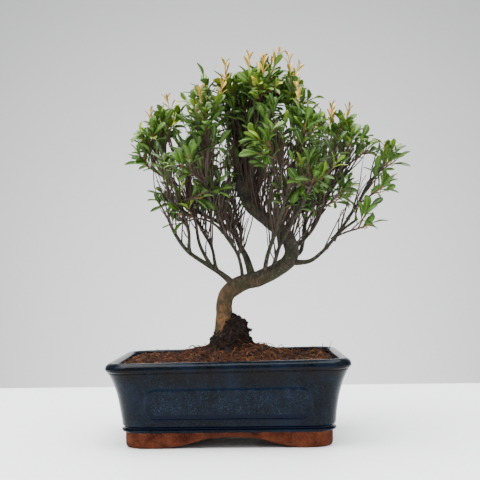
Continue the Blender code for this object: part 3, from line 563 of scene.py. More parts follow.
class Crown:
    """Fine twigs and leaves, kept as lists that become whole arrays at the end."""

    def __init__(self, tree):
        self.twigs = []        # node, points, first radius, last radius, tone
        self.leaves = []       # node, root, aim, up, length, width, tone
        self.room = [tree.places]
        self.size = [tree.sizes * SOLID_ROOM]
        low, high = (np.array(corner) * 1000 - MIDDLE for corner in CAD_BOX)
        self.low, self.high = low + INSIDE_LOW, high - INSIDE_HIGH

    def clear(self, points, least):
        """True where no noted point lies nearer than the least distance past its own size."""
        if (points < self.low).any() or (points > self.high).any():
            return False
        every, sizes = np.vstack(self.room), np.concatenate(self.size)
        close = (np.abs(every - points.mean(axis=0)) < NEARBY).all(axis=1)
        if not close.any():
            return True
        gaps = np.linalg.norm(every[close][None] - points[:, None], axis=2) - sizes[close][None]
        return gaps.min() > least

    def note(self, points, size):
        """Keeps the room that a new piece takes."""
        self.room.append(points)
        self.size.append(np.full(len(points), size))

    def leaf(self, node, root, aim, up, length, width, tone, least=LEAF_GAP, beyond=CROWN_EDGE):
        """Adds a leaf, turned or shortened where another is in its way, within the crown's outline."""
        aim = unit(aim)
        if outward(root + aim * length) > beyond:
            return
        up = unit(up - aim * np.dot(up, aim))
        side = np.cross(aim, up)
        for turn, lift, shrink in FINE_TRIES:
            way = unit(aim * math.cos(turn) + side * math.sin(turn) + up * lift)
            size = length * shrink
            room = root + way * (size * np.linspace(0.35, 1, 4))[:, None]
            if self.clear(room, least):
                normal = unit(up - way * np.dot(up, way))
                self.leaves.append((node, root, way, normal, size, width * shrink, tone))
                self.note(room, width * FINE_ROOM)
                return

    def pair(self, node, root, along, across, scale, tone, rng):
        """Two opposite leaves, with their faces towards the sky and the twig's tip."""
        for sign in (1, -1):
            spread = math.radians(rng.uniform(*FINE_SPREAD))
            aim = along * math.cos(spread) + sign * across * math.sin(spread)
            aim = aim + rng.normal(0, 0.09, 3) + (0, 0, 0.1)
            up = along + np.array([0, 0, 0.7]) + rng.normal(0, 0.22, 3)
            size = scale * rng.uniform(0.82, 1.12)
            width = LEAF_WIDTH * size * rng.uniform(0.88, 1.06)
            self.leaf(node, root, aim, up, LEAF_LENGTH * size, width, tone + rng.normal(0, 0.07))

    def shoot(self, node, root, aim, length, pairs, scale, tone, rng):
        """A side twig that curves up towards the light, with leaf pairs and one leaf at its tip."""
        aim = unit(aim)
        while outward(root + aim * length) > SHOOT_EDGE and length > SHORTEST_SHOOT:
            length *= 0.8
        t = np.linspace(0, 1, 5)[:, None]
        path = root + aim * length * t + np.array([0, 0, SHOOT_RISE]) * length * t ** 2
        path = path + rng.normal(0, 0.012, 3) * length * np.sin(math.pi * t)
        if not self.clear(path[2:], TWIG_GAP):
            return
        # The shoot's tone comes from light_at as well as from its age: painted light and shade on its bark.
        self.twigs.append((node, path, *SHOOT_RADII, min(1.0, 0.45 + tone * 0.5)))
        self.note(smooth(path, 2.5)[2:], SHOOT_ROOM)
        turn = rng.uniform(0, math.pi)
        for share in np.linspace(*SHOOT_LEAVES, pairs):
            turn += math.pi / 2
            ahead, heading = heading_at(path, share, turn)
            self.pair(node, path_at(path, share), ahead, heading, scale * (1.05 - 0.25 * share),
                      tone + 0.18 * share, rng)
        ahead = unit(path[-1] - path[-2])
        up = np.array([0.1, -0.3, 1.0]) + rng.normal(0, 0.3, 3)
        self.leaf(node, path[-1], ahead, up, LEAF_LENGTH * scale * 0.78, LEAF_WIDTH * scale * 0.74,
                  tone + 0.24)


def path_at(path, share):
    """The point at a share of a path's length."""
    lengths = lengths_along(path)
    return np.array([np.interp(share * lengths[-1], lengths, path[:, axis]) for axis in range(3)])


def heading_at(path, share, turn):
    """A path's direction at a share of its length, and one across it, turned about it."""
    ahead = unit(path_at(path, min(share + 0.1, 1)) - path_at(path, share - 0.1))
    across = unit(np.cross(ahead, UPRIGHT))
    return ahead, across * math.cos(turn) + np.cross(ahead, across) * math.sin(turn)


def outward(points):
    """How far out in the crown points lie: 0 at its middle and 1 on its skin."""
    away = np.asarray(points, float) - CROWN_MIDDLE
    reach = crown_reach(away[..., 0], away[..., 2])
    return np.sqrt((away[..., 0] ** 2 + away[..., 2] ** 2) / reach ** 2 + (away[..., 1] / CROWN_DEPTH) ** 2)


def light_at(points):
    """How much light a point gets, from 0 in the shade to 1 at the top of the crown."""
    return np.clip(0.55 * outward(points) + 0.45 * (np.asarray(points)[..., 2] - 190) / 130, 0, 1)


def fullness(point):
    """Share of the leaves that grow at a point: all in the upper crown, few below and at the right."""
    high = np.interp(point[2], FULL_HEIGHTS, FULL_SHARES)
    right = np.clip(1.6 - (point[0] - 43) / 80, 0.4, 1)
    return float(high * right * np.clip(0.2 + 1.0 * outward(point) ** 2, 0, 1))


@functools.lru_cache(maxsize=1)
def grow_crown():
    """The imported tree, with fine twigs and leaves added along every spray and limb."""
    tree, sprays = grow_tree()
    rng = np.random.default_rng(CROWN_SEED)
    crown = Crown(tree)
    for node, root, aim, up, length, width in tree.leaves:
        # Painted light and shade: a leaf's tone rises with light_at, so leaves in the light at the top are
        # painted paler green and those inside the crown darker.
        tone = 0.30 + 0.3 * float(light_at(root + aim * length)) + rng.normal(0, 0.06)
        crown.leaves.append((node, root, aim, up, length * FINE_LENGTH, width * FINE_WIDTH, tone))
    for node in range(1, sprays + 1):
        dress_spray(crown, node, tree.stems(node), rng)
    grow_inner_twigs(crown, tree, rng)
    grow_young_shoots(crown, tree, sprays, rng)
    return tree, sprays, crown


def dress_spray(crown, node, stems, rng):
    """Side shoots in opposite pairs along a spray's main twig, then leaf pairs along each of its twigs."""
    main = smooth(stems[0], 3)
    for index, share in enumerate(MAIN_SHOOTS):
        spot = path_at(main, share)
        ahead, heading = heading_at(main, share, index * GOLDEN_TURN + node)
        # Painted light and shade as well as age: the tone of these shoots and their leaves rises with
        # light_at.
        tone = 0.22 + 0.42 * float(light_at(spot)) + rng.normal(0, 0.05)
        for sign in (1, -1):
            if rng.random() > fullness(spot) + 0.12:
                continue
            reach = rng.uniform(*SHOOT_REACH) * (1.1 - 0.35 * share)
            crown.shoot(node, spot, ahead * 0.75 + heading * sign * 0.75 + (0, 0, 0.25), reach,
                        int(rng.integers(2, 4)), rng.uniform(*SHOOT_SCALE), tone, rng)
    for stem in stems:
        stem = smooth(stem, 3)
        for share in STEM_PAIRS:
            spot = path_at(stem, share)
            if rng.random() > fullness(spot) + 0.25:
                continue
            ahead, heading = heading_at(stem, share, rng.uniform(0, math.pi))
            # The pair's tone rises with light_at: painted light and shade.
            crown.pair(node, spot, ahead, heading, 0.85, 0.3 + 0.4 * float(light_at(spot)), rng)


def grow_inner_twigs(crown, tree, rng):
    """The thicket inside the crown: thin upright twigs on the limbs, some with leaves at the end.

    The upper trunk counts three times, so that more of them stand on it than on each limb.
    """
    trunk, *limbs = tree.stems(0)
    hosts = np.vstack([smooth(points, 3)[3:] for points in [trunk[-11:]] * 3 + limbs[len(ROOTS):]])
    hosts = hosts[hosts[:, 2] > THICKET_FROM]
    inside = np.exp(-((hosts[:, 0] - THICKET_MIDDLE) / THICKET_HALF) ** 2) + 0.08
    inside = inside * np.clip((hosts[:, 2] - 145) / 75, 0.1, 1)
    for spot in hosts[rng.choice(len(hosts), INNER_TWIGS, p=inside / inside.sum())]:
        turn = rng.uniform(0, 2 * math.pi)
        aim = np.array([0.34 * math.cos(turn), 0.34 * math.sin(turn), 1.0])
        aim = unit(aim + (spot - (THICKET_MIDDLE, 0, THICKET_FROM)) * (0.006, 0.006, 0))
        reach = rng.uniform(*THICKET_REACH)
        while outward(spot + aim * reach) > THICKET_EDGE and reach > 12:
            reach *= 0.85
        tip = spot + aim * reach
        t = np.linspace(0, 1, 7)[:, None]
        bow = rng.normal(0, 0.05, 3) * reach
        line = spot + aim * reach * t + bow * np.sin(math.pi * t) + rng.normal(0, 0.35, (7, 3)) * np.sqrt(t)
        if not crown.clear(line[2:], 0.1):
            continue
        # Painted shade: twigs and leaves far inside the thicket get a darker tone than those nearer the
        # light.
        tone = 0.2 + 0.35 * float(light_at(tip))
        crown.twigs.append((0, line, rng.uniform(0.55, 0.85), 0.3, 0.22 + 0.5 * tone))
        crown.note(smooth(line, 2.5)[2:], THICKET_ROOM)
        ahead = unit(line[-1] - line[-2])
        for share in THICKET_PAIRS:
            if rng.random() < fullness(path_at(line, share)) * 0.5:
                turn += math.pi / 2
                heading = unit(np.cross(ahead, (math.cos(turn), math.sin(turn), 0.2)))
                crown.pair(0, path_at(line, share), ahead, heading, rng.uniform(0.6, 0.85), tone, rng)
        if rng.random() < fullness(tip) * 0.6 + 0.03:
            up = np.array([0.1, -0.4, 0.8])
            crown.leaf(0, line[-1], ahead, up, LEAF_LENGTH * 0.7, LEAF_WIDTH * 0.62, tone)


def grow_young_shoots(crown, tree, sprays, rng):
    """Upright bronze tips on the highest and outermost sprays."""
    for node in range(1, sprays + 1):
        for index, stem in enumerate(tree.stems(node)):
            x, z = stem[-1][[0, 2]]
            high = z > YOUNG_FROM or (x < YOUNG_LEFT and z > YOUNG_LEFT_FROM)
            if not high or rng.random() > (YOUNG_SIDE if index else 1.0):
                continue
            aim = np.array([rng.normal(0, 0.22), rng.normal(0, 0.22), 1.0])
            grow_bronze(crown, node, path_at(stem, rng.uniform(0.75, 1.0)), unit(aim), rng)


def grow_bronze(crown, node, root, aim, rng):
    """One young shoot: a thin stem with three pairs of narrow folded leaves, the last at its tip."""
    length = rng.uniform(*BRONZE_LENGTH)
    while outward(root + aim * length) > BRONZE_EDGE:
        length *= 0.85
    path = root + aim * length * np.linspace(0, 1, 4)[:, None]
    if not crown.clear(path[2:], 0.3):
        return
    crown.twigs.append((node, path, 0.5, 0.3, 1.0))
    turn = rng.uniform(0, math.pi)
    for share, scale in BRONZE_PAIRS:
        turn += math.pi / 2
        across = np.array([math.cos(turn), math.sin(turn), 0.0])
        for sign in (1, -1):
            spread = math.radians(rng.uniform(*BRONZE_SPREAD))
            way = aim * math.cos(spread) + sign * across * math.sin(spread)
            crown.leaf(node, path_at(path, share), way, aim + sign * across * -0.2, LEAF_LENGTH * scale,
                       LEAF_WIDTH * scale * BRONZE_NARROW, rng.uniform(0.88, 1.0), 0.1, BRONZE_LEAF_EDGE)


# Blades

LEAF_ROWS, LEAF_COLUMNS = 9, 5
BLADE_THICK, RIB_DEPTH = 0.42, 0.14
STALK = 0.11                   # share of a leaf's length that is its stalk
STALK_HALF, TIP_HALF = 0.36, 0.25   # least half width, towards the stalk and the tip
# Ranges for each blade: fold of its halves, droop of its tip, waves and their start, sideways curl
FOLD, DROOP, WAVE, PHASE, CURL = (0.05, 0.38), (-0.04, 0.16), (0.0, 0.3), (0, 6.28), (-0.12, 0.12)


def leaf_arrays(leaves, rng):
    """Closed blades, each a flat tube from petiole to tip.

    Across a blade, v runs over the top from edge to edge and back under it. Its half width at
    share u of the length is W / 2 * sin(pi * w ** 1.6) ** 0.52, with w the share past the stalk;
    its height is arch * sin(pi * u) - droop * u * u + fold * |v|, with waves along the edges and a
    groove at the rib, and a curl * u * u carries it sideways.
    """
    roots, aims, ups = (np.array([leaf[index] for leaf in leaves]) for index in (1, 2, 3))
    lengths, widths, tones = (np.array([leaf[index] for leaf in leaves]) for index in (4, 5, 6))
    number = len(leaves)

    def pick(span):
        return rng.uniform(*span, number)[:, None, None]

    sides = np.cross(aims, ups)
    u = np.linspace(0, 1, LEAF_ROWS)
    u = (0.6 * u + 0.4 * (0.5 - 0.5 * np.cos(math.pi * u)))[None, :, None]
    top = np.linspace(-1, 1, LEAF_COLUMNS)
    v = np.concatenate([top, top[-2:0:-1]])[None, None, :]
    under = np.concatenate([np.zeros(LEAF_COLUMNS), np.ones(LEAF_COLUMNS - 2)])[None, None, :]
    w = np.clip((u - STALK) / (1 - STALK), 0, 1)
    blade = np.sin(math.pi * np.clip(w, 0, 0.988) ** 1.6) ** 0.52
    half = np.maximum(widths[:, None, None] / 2 * blade, np.where(u < 0.5, STALK_HALF, TIP_HALF))
    fold, droop, wave, phase = pick(FOLD), pick(DROOP), pick(WAVE), pick(PHASE)
    size = lengths[:, None, None]
    height = (LEAF_ARCH * size * np.sin(math.pi * u) - droop * size * u * u
              + fold * np.abs(v) * half + wave * np.sin(7.5 * u + phase) * np.abs(v) * w)
    thick = BLADE_THICK * np.where(u < STALK, 1.5, 1.0) * (1 - 0.75 * v * v)
    rib = RIB_DEPTH * (np.abs(v) < 0.1) * (w > 0) * (w < 0.97)
    height = height + np.where(under > 0, -thick / 2 - 1.6 * rib, thick / 2 - rib)
    across = v * half + pick(CURL) * size * u * u
    grid = (roots[:, None, None] + aims[:, None, None] * (size * u * np.ones_like(v))[..., None]
            + sides[:, None, None] * across[..., None] + ups[:, None, None] * height[..., None])
    tips = grid[:, -1].mean(axis=1) + aims * lengths[:, None] * 0.006
    ends = np.stack([grid[:, 0].mean(axis=1), tips], axis=1)
    points = np.concatenate([grid.reshape(number, -1, 3), ends], axis=1)
    shape = grid.shape[:3]
    quads, fans = tube_faces(*shape[1:])
    step = (np.arange(number) * points.shape[1])[:, None, None]

    def flat(values, last):
        rows = np.broadcast_to(values, shape).reshape(number, -1)
        return np.concatenate([rows, np.broadcast_to(last, (number, 2))], axis=1)

    uv = np.stack([flat(u, [[0.0, 1.0]]), flat(v * 0.5 + 0.5, 0.5)], axis=-1)
    return (points.reshape(-1, 3), (quads[None, :, ::-1] + step).reshape(-1, 4),
            (fans[None, :, ::-1] + step).reshape(-1, 3), flat(tones[:, None, None], tones[:, None]).ravel(),
            flat(np.where(np.abs(v) > 0.99, 0.4, under), 0.0).ravel(), uv.reshape(-1, 2))


# Pot: a profile of stations carried round a rectangle with round corners

RIM_LENGTH, RIM_DEPTH = 200.0, 150.0
POT_HEIGHT = 70.0
RIM_LEAN, LEAN_FROM = 0.012, 26.0
BODY_LENGTH, BODY_DEPTH, BODY_FROM = 174.4, 126.4, 15.0
FOOT_INSET = 2.2
GLAZE_LINE = 12.8
LIP_HEIGHT, LIP_PROUD = 8.0, 1.8
POT_GRID, SOIL_GRID = (120, 84, 22), (110, 78, 14)   # points on a long side, a short side and a corner
# The rounded lip as a rise over its lower edge and an inset, from outside over the top to inside
LIP = ((0.1, 0.5), (0.4, -0.5), (0.9, -1.2), (1.6, -1.65), (2.6, -1.8), (3.7, -1.75), (4.9, -1.4),
       (6.0, -0.7), (6.9, 0.3), (7.6, 1.5), (7.95, 2.8), (8.0, 4.2), (7.8, 5.4), (7.2, 6.5),
       (6.2, 7.1), (4.6, 7.5))
# The bead over the foot, which stands proud, and the groove above it, as levels and insets
BEAD = ((12.9, 0.3), (13.2, -0.2), (13.7, -0.6), (14.3, -0.75), (14.8, -0.55), (15.1, 0.1), (15.4, 0.9),
        (15.9, 1.3), (16.6, 1.35), (17.2, 1.1), (17.6, 0.5), (18.0, 0.05))
WALL_FROM, GROOVE_LEVEL = 18.3, 16.5
# Runs of stations up the wall: first level, last level and how many, closest at the panel's edges
WALL_RUNS = ((18.6, 21.4, 4), (21.9, 26.9, 11), (28, 44.5, 13), (45.1, 50.1, 11), (51, 61.7, 11))
WALL, CORNER_RADIUS = 6.5, 20.0
# The inner wall as levels and what each adds to the wall's thickness
INNER_WALL = ((58, 0.7), (52, 0.4), (44, 0), (34, 0), (24, 0), (20.5, 0.8))
FLOOR_UNDER, FLOOR_TOP = 11.5, 18.0
FLOOR_SCALES = (0.06, 0.35, 0.7, 1.0)   # rings of the floor, from its middle out
FOOT_RING = 11.0
# Round the hollow below: what each ring adds to the foot's inner edge, and how far it lies under the floor
HOLLOW_TOP = ((1.6, 0.0), (1.0, 0.6), (0.7, 1.6))
# The same edge down to the sole, with shares of the height between the two
HOLLOW_SIDE = ((0.2, 0.9), (0.0, 0.2), (-0.3, 0.05), (-1.0, 0.0))
SOLE = ((6.0, 0.0), (2.4, 0.0), (1.4, 0.3), (0.7, 0.9))   # insets and rises of its rounded outer edge
FOOT_LEVELS = 7
ARCH_HALVES, ARCH_SHIFT = (59.0, 35.0), 3.0
ARCH_SHARES = (0.0, 0.12, 0.25, 0.37, 0.47, 0.58, 0.73, 0.88, 1.0)
ARCH_HEIGHTS = (8.7, 8.6, 8.2, 7.2, 5.6, 3.7, 1.8, 0.6, 0.0)
PANEL_HALF = 68.0
PANEL_LOW, PANEL_HIGH, PANEL_CORNER, PANEL_RELIEF, PANEL_BEVEL = 22.8, 49.6, 10.0, 2.1, 3.0
PANEL_TOP_SHARE = 0.45         # of its relief that is left at its upper edge
HAND_WAVER, HAND_RIPPLE = 0.16, 0.05   # unevenness of the hand-made wall
DRAIN_RADIUS, DRAIN_SPREAD = 6.0, 44.0


def half_sizes(height):
    """Half the pot's length and depth at heights: a concave flare from the foot up to the lip."""
    rise = np.maximum(height - BODY_FROM, 0) / (POT_HEIGHT - LIP_HEIGHT - BODY_FROM)
    flare = 0.45 * rise + 0.55 * rise ** 3.2
    return (BODY_LENGTH / 2 + (RIM_LENGTH / 2 - LIP_PROUD - BODY_LENGTH / 2) * flare,
            BODY_DEPTH / 2 + (RIM_DEPTH / 2 - LIP_PROUD - BODY_DEPTH / 2) * flare)


def lean(x, height):
    """How far a point of the pot or soil is raised by the slope of the rim."""
    return RIM_LEAN * x * np.maximum(height - LEAN_FROM, 0) / (POT_HEIGHT - LEAN_FROM)


def outline(long_points, short_points, corner_points):
    """Round the rectangle once: the corner centre that each point belongs to, and its way out."""
    along = np.linspace(-1, 1, long_points, endpoint=False)
    across = np.linspace(-1, 1, short_points, endpoint=False)
    turns = np.linspace(0, math.pi / 2, corner_points, endpoint=False)
    sides = (((along, -1), (1, -1)), ((1, across), (1, 1)), ((-along, 1), (-1, 1)), ((-1, -across), (-1, -1)))
    centre, out = [], []
    for quarter, (line, corner) in enumerate(sides):
        start = quarter * math.pi / 2 - math.pi / 2
        run = np.stack(np.broadcast_arrays(*line), axis=-1)
        centre += [run, np.tile(corner, (corner_points, 1)).astype(float)]
        out += [np.tile([math.cos(start), math.sin(start)], (len(run), 1)),
                np.stack([np.cos(start + turns), np.sin(start + turns)], axis=-1)]
    return np.vstack(centre), np.vstack(out)


def rings_at(heights, insets, centre, out):
    """Rings of the outline at each height, moved inwards: centre * (half - radius) + out * radius."""
    length, depth = half_sizes(np.asarray(heights, float))
    insets = np.asarray(insets, float)
    radius = np.maximum(CORNER_RADIUS - insets * 0.8, 2.0)[:, None]
    x = centre[None, :, 0] * ((length - insets)[:, None] - radius) + out[None, :, 0] * radius
    y = centre[None, :, 1] * ((depth - insets)[:, None] - radius) + out[None, :, 1] * radius
    return x, y


def panel_edge(along, height):
    """Distance inwards from the rounded rectangle of the panel on the wall, less than 0 outside it."""
    middle, half_high = (PANEL_LOW + PANEL_HIGH) / 2, (PANEL_HIGH - PANEL_LOW) / 2
    past_x = np.abs(along) - (PANEL_HALF - PANEL_CORNER)
    past_z = np.abs(height - middle) - (half_high - PANEL_CORNER)
    edge = np.hypot(np.maximum(past_x, 0), np.maximum(past_z, 0))
    return PANEL_CORNER - (edge + np.minimum(np.maximum(past_x, past_z), 0))


def pot_surface():
    """The whole skin of the pot, from under its floor round the foot, wall and lip to its inner floor.

    Each station is a height for the outline, an inset, and the level at which its ring lies. The
    last values are the share of pooled glaze and painted shade, 1 in the groove and under the panel,
    and below 0 for thin glaze and a painted highlight on its top edge, and the share of the raised
    panel, 1 on its face and 0 beyond it.
    """
    centre, out = outline(*POT_GRID)
    count = len(centre)
    foot_x, foot_y = rings_at(0, [FOOT_INSET + 1.0], centre, out)
    front, side = np.abs(out[:, 1]) > 0.99, np.abs(out[:, 0]) > 0.99
    share = np.where(front, np.abs(foot_x[0] - ARCH_SHIFT) / ARCH_HALVES[0],
                     np.where(side, np.abs(foot_y[0]) / ARCH_HALVES[1], 2.0))
    arch = np.interp(share, ARCH_SHARES, ARCH_HEIGHTS, right=0.0)
    xs, ys, zs = [], [], []

    def add(heights, insets, levels, scale=1.0):
        x, y = rings_at(heights, insets, centre, out)
        xs.append(x * scale)
        ys.append(y * scale)
        zs.append(np.broadcast_to(levels, x.shape))

    hollow = FOOT_INSET + FOOT_RING
    extras, drops = np.array(HOLLOW_TOP).T
    for scale in FLOOR_SCALES[:-1]:
        add(0, hollow + extras[:1], FLOOR_UNDER, scale)
    add(0, hollow + extras, FLOOR_UNDER - drops[:, None])
    extras, shares = np.array(HOLLOW_SIDE).T
    add(0, hollow + extras, arch + (FLOOR_UNDER - drops[-1] - arch) * shares[:, None])
    insets, rises = np.array(SOLE).T
    add(0, FOOT_INSET + insets, arch + rises[:, None])
    insets = FOOT_INSET + 0.2 * (np.arange(FOOT_LEVELS) == 0)
    add(0, insets, arch + (GLAZE_LINE - 0.1 - arch) * np.linspace(0.16, 1.0, FOOT_LEVELS)[:, None])
    levels, insets = np.array(BEAD).T
    add(levels, insets, levels[:, None])
    levels = np.concatenate([np.linspace(*run) for run in WALL_RUNS])
    add(levels, 0 * levels, levels[:, None])
    rises, insets = np.array(LIP).T
    add(POT_HEIGHT - LIP_HEIGHT, insets, POT_HEIGHT - LIP_HEIGHT + rises[:, None])
    levels, extras = np.array(INNER_WALL).T
    add(levels, WALL + extras, levels[:, None])
    for scale in FLOOR_SCALES[::-1]:
        add(21.0, [WALL + 3.4], FLOOR_TOP, scale)
    x, y, z = (np.vstack(part).astype(float) for part in (xs, ys, zs))
    outside = np.arange(len(z))[:, None] < len(z) - len(INNER_WALL) - len(FLOOR_SCALES)
    wall = (z > WALL_FROM) & outside
    inwards = np.where(front, panel_edge(x, z), -9.0)
    step = np.clip(inwards / PANEL_BEVEL, 0, 1)
    raised = np.where(wall, step * step * (3 - 2 * step), 0.0)
    relief = raised * np.interp(z, (PANEL_LOW, PANEL_HIGH), (PANEL_RELIEF, PANEL_RELIEF * PANEL_TOP_SHARE))
    hand = HAND_WAVER * value_noise(x * 0.035, y * 0.035, z * 0.06, 5)
    hand = hand + HAND_RIPPLE * value_noise(x * 0.2, y * 0.2, z * 0.2, 6)
    push = np.where(wall, relief + hand, 0.0) + np.where(z < GLAZE_LINE, hand * 1.2, 0)
    # Painted shade and highlight: pooled glaze darkens the groove and the panel's lower side, also standing
    # in for the shade there, and thin glaze lightens its upper edge, also standing in for a highlight.
    low = np.clip(((PANEL_LOW + PANEL_HIGH) / 2 - z) / 12 + 0.1, 0, 1)
    pool_and_shade = np.exp(-((inwards - 2.4) / 2.2) ** 4) * low
    pool_and_shade = pool_and_shade - 0.55 * np.exp(-((inwards - 1.4) / 1.3) ** 2) * (1 - low)
    pool_and_shade = np.where(wall, pool_and_shade, 0) + np.exp(-((z - GROOVE_LEVEL) / 1.1) ** 2) * outside
    x, y = x + out[None, :, 0] * push, y + out[None, :, 1] * push
    z = z + lean(x, z)
    poles = [[0, 0, FLOOR_UNDER], [0, 0, FLOOR_TOP]]
    points = np.vstack([np.stack([x, y, z], axis=-1).reshape(-1, 3), poles])
    quads, fans = tube_faces(len(x), count)
    return points, quads, fans, *(np.concatenate([values.ravel(), [0, 0]]) for values in (pool_and_shade, raised))


# Soil

SOIL_EDGE = 64.5
SOIL_LUMPS = ((9, 1.1, 10), (4, 1.1, 11), (2, 0.75, 12), (1, 0.4, 13))   # size, rise and seed of each
# What swells above it: rise, middle, half length and half depth of each
SOIL_SWELLS = ((8.0, 0.0, 62.0, 44.0), (8.0, 3.0, 33.0, 27.0))
# The clump of roots and fibre round the trunk's foot: middle and radius at each level
CLUMP_LEVELS = (70.0, 75.0, 79.0, 83.0, 87.0, 91.0, 95.0, 99.0, 103.0, 106.0)
CLUMP_MIDDLES = (1.5, 1.5, 1.5, 1.6, 1.8, 2.2, 2.8, 3.0, 1.6, 0.2)
CLUMP_RADII = (22.0, 20.0, 17.8, 15.8, 13.8, 11.8, 9.2, 6.8, 4.0, 2.6)
# Its knobs: turn, level and rise of each
CLUMP_KNOBS = ((0.0, 91.5, 4.6), (-0.35, 98.0, 3.0), (-0.9, 88.0, 1.6), (3.0, 84.0, 2.0), (-1.6, 93.0, 1.4))
CLUMP_LUMPS = ((7, 2.6, 14), (3, 1.5, 15), (1.4, 0.7, 16))
CLUMP_SIDES, CLUMP_RINGS = 120, 46
SOIL_RINGS = 84
# Where the soil meets the wall: height, gap added to the wall's thickness, and level of each ring
SOIL_SKIRT = ((21, 4.1, FLOOR_TOP + 0.4), (40, 0.8, 40), (54, 1.3, 54))
FIBRE_POINTS, FIBRE_SIDES = 8, 4
STRAIGHT_FLAT = np.array([1e-4, 2e-4, 1e-3])   # added to a thread's flattest direction, for straight ones
FIBRE_EDGE, CRUMB_EDGE = 13.5, 12.5   # from the pot's outside to the outermost fibres and crumbs
LONGEST_ARC = 5.0              # most that a loose fibre rises over the soil


def soil_height(x, y):
    """Mounded coir compost: low at the walls, with a swell and a mound in the middle."""
    swells = sum(rise * np.exp(-(((x - middle) / length) ** 2 + (y / depth) ** 2))
                 for rise, middle, length, depth in SOIL_SWELLS)
    crumbs = 0.8 * np.sin(x * 0.31 + 1.3 * np.sin(y * 0.23)) * np.cos(y * 0.37 + 0.8)
    return SOIL_EDGE + swells + crumbs


def rough_height(x, y):
    """The soil's height with lumps of 9 mm, 4 mm, 2 mm and 1 mm."""
    level = soil_height(x, y)
    return level + lumps(x, y, 0, SOIL_LUMPS) + lean(x, level)


def clump_point(turn, level, raised=0.0):
    """Places on the clump: its radius at a level, swollen by knobs and by lumps of 7 mm, 3 mm and 1.4 mm.

    A knob is rise * exp((cos(turn - its turn) - 1) / 0.03 - ((level - its level) / 1.7) ** 2).
    """
    radius, middle = (np.interp(level, CLUMP_LEVELS, sizes) for sizes in (CLUMP_RADII, CLUMP_MIDDLES))
    swell = lumps(np.cos(turn) * radius, np.sin(turn) * radius, level, CLUMP_LUMPS)
    knobs = sum(rise * np.exp((np.cos(turn - at) - 1) / 0.03 - ((level - height) / 1.7) ** 2)
                for at, height, rise in CLUMP_KNOBS)
    radius = np.maximum(radius + swell + knobs, 2.0) + raised
    return np.stack([middle + radius * np.cos(turn), radius * np.sin(turn), level + 0.0 * turn], axis=-1)


def clump_surface():
    """The clump as rings of places at even levels, closed below and over the top."""
    turn = np.linspace(0, 2 * math.pi, CLUMP_SIDES, endpoint=False)[None]
    level = np.linspace(CLUMP_LEVELS[0], CLUMP_LEVELS[-1], CLUMP_RINGS)[:, None]
    grid = clump_point(turn, level)
    grid[:, :, 2] += 1.2 * value_noise(grid[:, :, 0] / 3, grid[:, :, 1] / 3, level / 3, 17)
    crown = grid[-1].mean(axis=0)
    inner = [crown + (grid[-1] - crown) * share + (0, 0, rise) for share, rise in ((0.66, 0.9), (0.3, 1.3))]
    grid = np.concatenate([grid, inner])
    quads, fans = tube_faces(len(grid), CLUMP_SIDES)
    ends = [[CLUMP_MIDDLES[0], 0.0, CLUMP_LEVELS[0]], crown + (0, 0, 1.4)]
    return np.vstack([grid.reshape(-1, 3), ends]), quads, fans


def soil_surface():
    """Rings from the floor up the wall and in over the mound, closed at the middle."""
    centre, out = outline(*SOIL_GRID)
    heights, gaps, levels = np.array(SOIL_SKIRT).T
    skirt_x, skirt_y = rings_at(heights, WALL + gaps, centre, out)
    skirt_z = np.broadcast_to(levels[:, None], skirt_x.shape)
    edge_x, edge_y = rings_at([60], [WALL + 1.6], centre, out)
    share = np.linspace(1, 0.02, SOIL_RINGS)[:, None]
    x, y = edge_x * share + 2.0 * (1 - share), edge_y * share
    z = rough_height(x, y)
    z[0] = z[0] - 1.2
    poles = [[0.0, 0.0, levels[0]], [x[-1].mean(), 0.0, z[-1].mean()]]
    z = np.vstack([skirt_z + lean(skirt_x, skirt_z), z])
    grid = np.stack([np.vstack([skirt_x, x]), np.vstack([skirt_y, y]), z], axis=-1)
    quads, fans = tube_faces(*grid.shape[:2])
    return np.vstack([grid.reshape(-1, 3), poles]), quads, fans


def thread_arrays(paths, radii, sides):
    """Many thin closed tubes of equal point count at once, from an array of paths.

    A thread's radius falls towards its ends as 1 - 0.55 * s ** 2, with s from -1 to 1 along it.
    """
    number, levels = paths.shape[:2]
    ahead = unit_rows(np.gradient(paths, axis=1))
    flat = unit_rows(np.cross(paths[:, 1] - paths[:, 0], paths[:, -1] - paths[:, 0]) + STRAIGHT_FLAT)
    side = unit_rows(np.cross(ahead, flat[:, None]) + 1e-9)
    other = np.cross(ahead, side)
    angle = np.arange(sides) * 2 * math.pi / sides
    taper = 1 - 0.55 * np.linspace(-1, 1, levels) ** 2
    size = (radii[:, None] * taper[None])[..., None, None]
    out = side[:, :, None] * np.cos(angle)[:, None] + other[:, :, None] * np.sin(angle)[:, None]
    grid = paths[:, :, None] + size * out
    points = np.concatenate([grid.reshape(number, -1, 3), paths[:, :1], paths[:, -1:]], axis=1)
    quads, fans = tube_faces(levels, sides)
    each = points.shape[1]
    step = (np.arange(number) * each)[:, None, None]
    quads, fans = (quads[None] + step).reshape(-1, 4), (fans[None] + step).reshape(-1, 3)
    return points.reshape(-1, 3), quads, fans, each


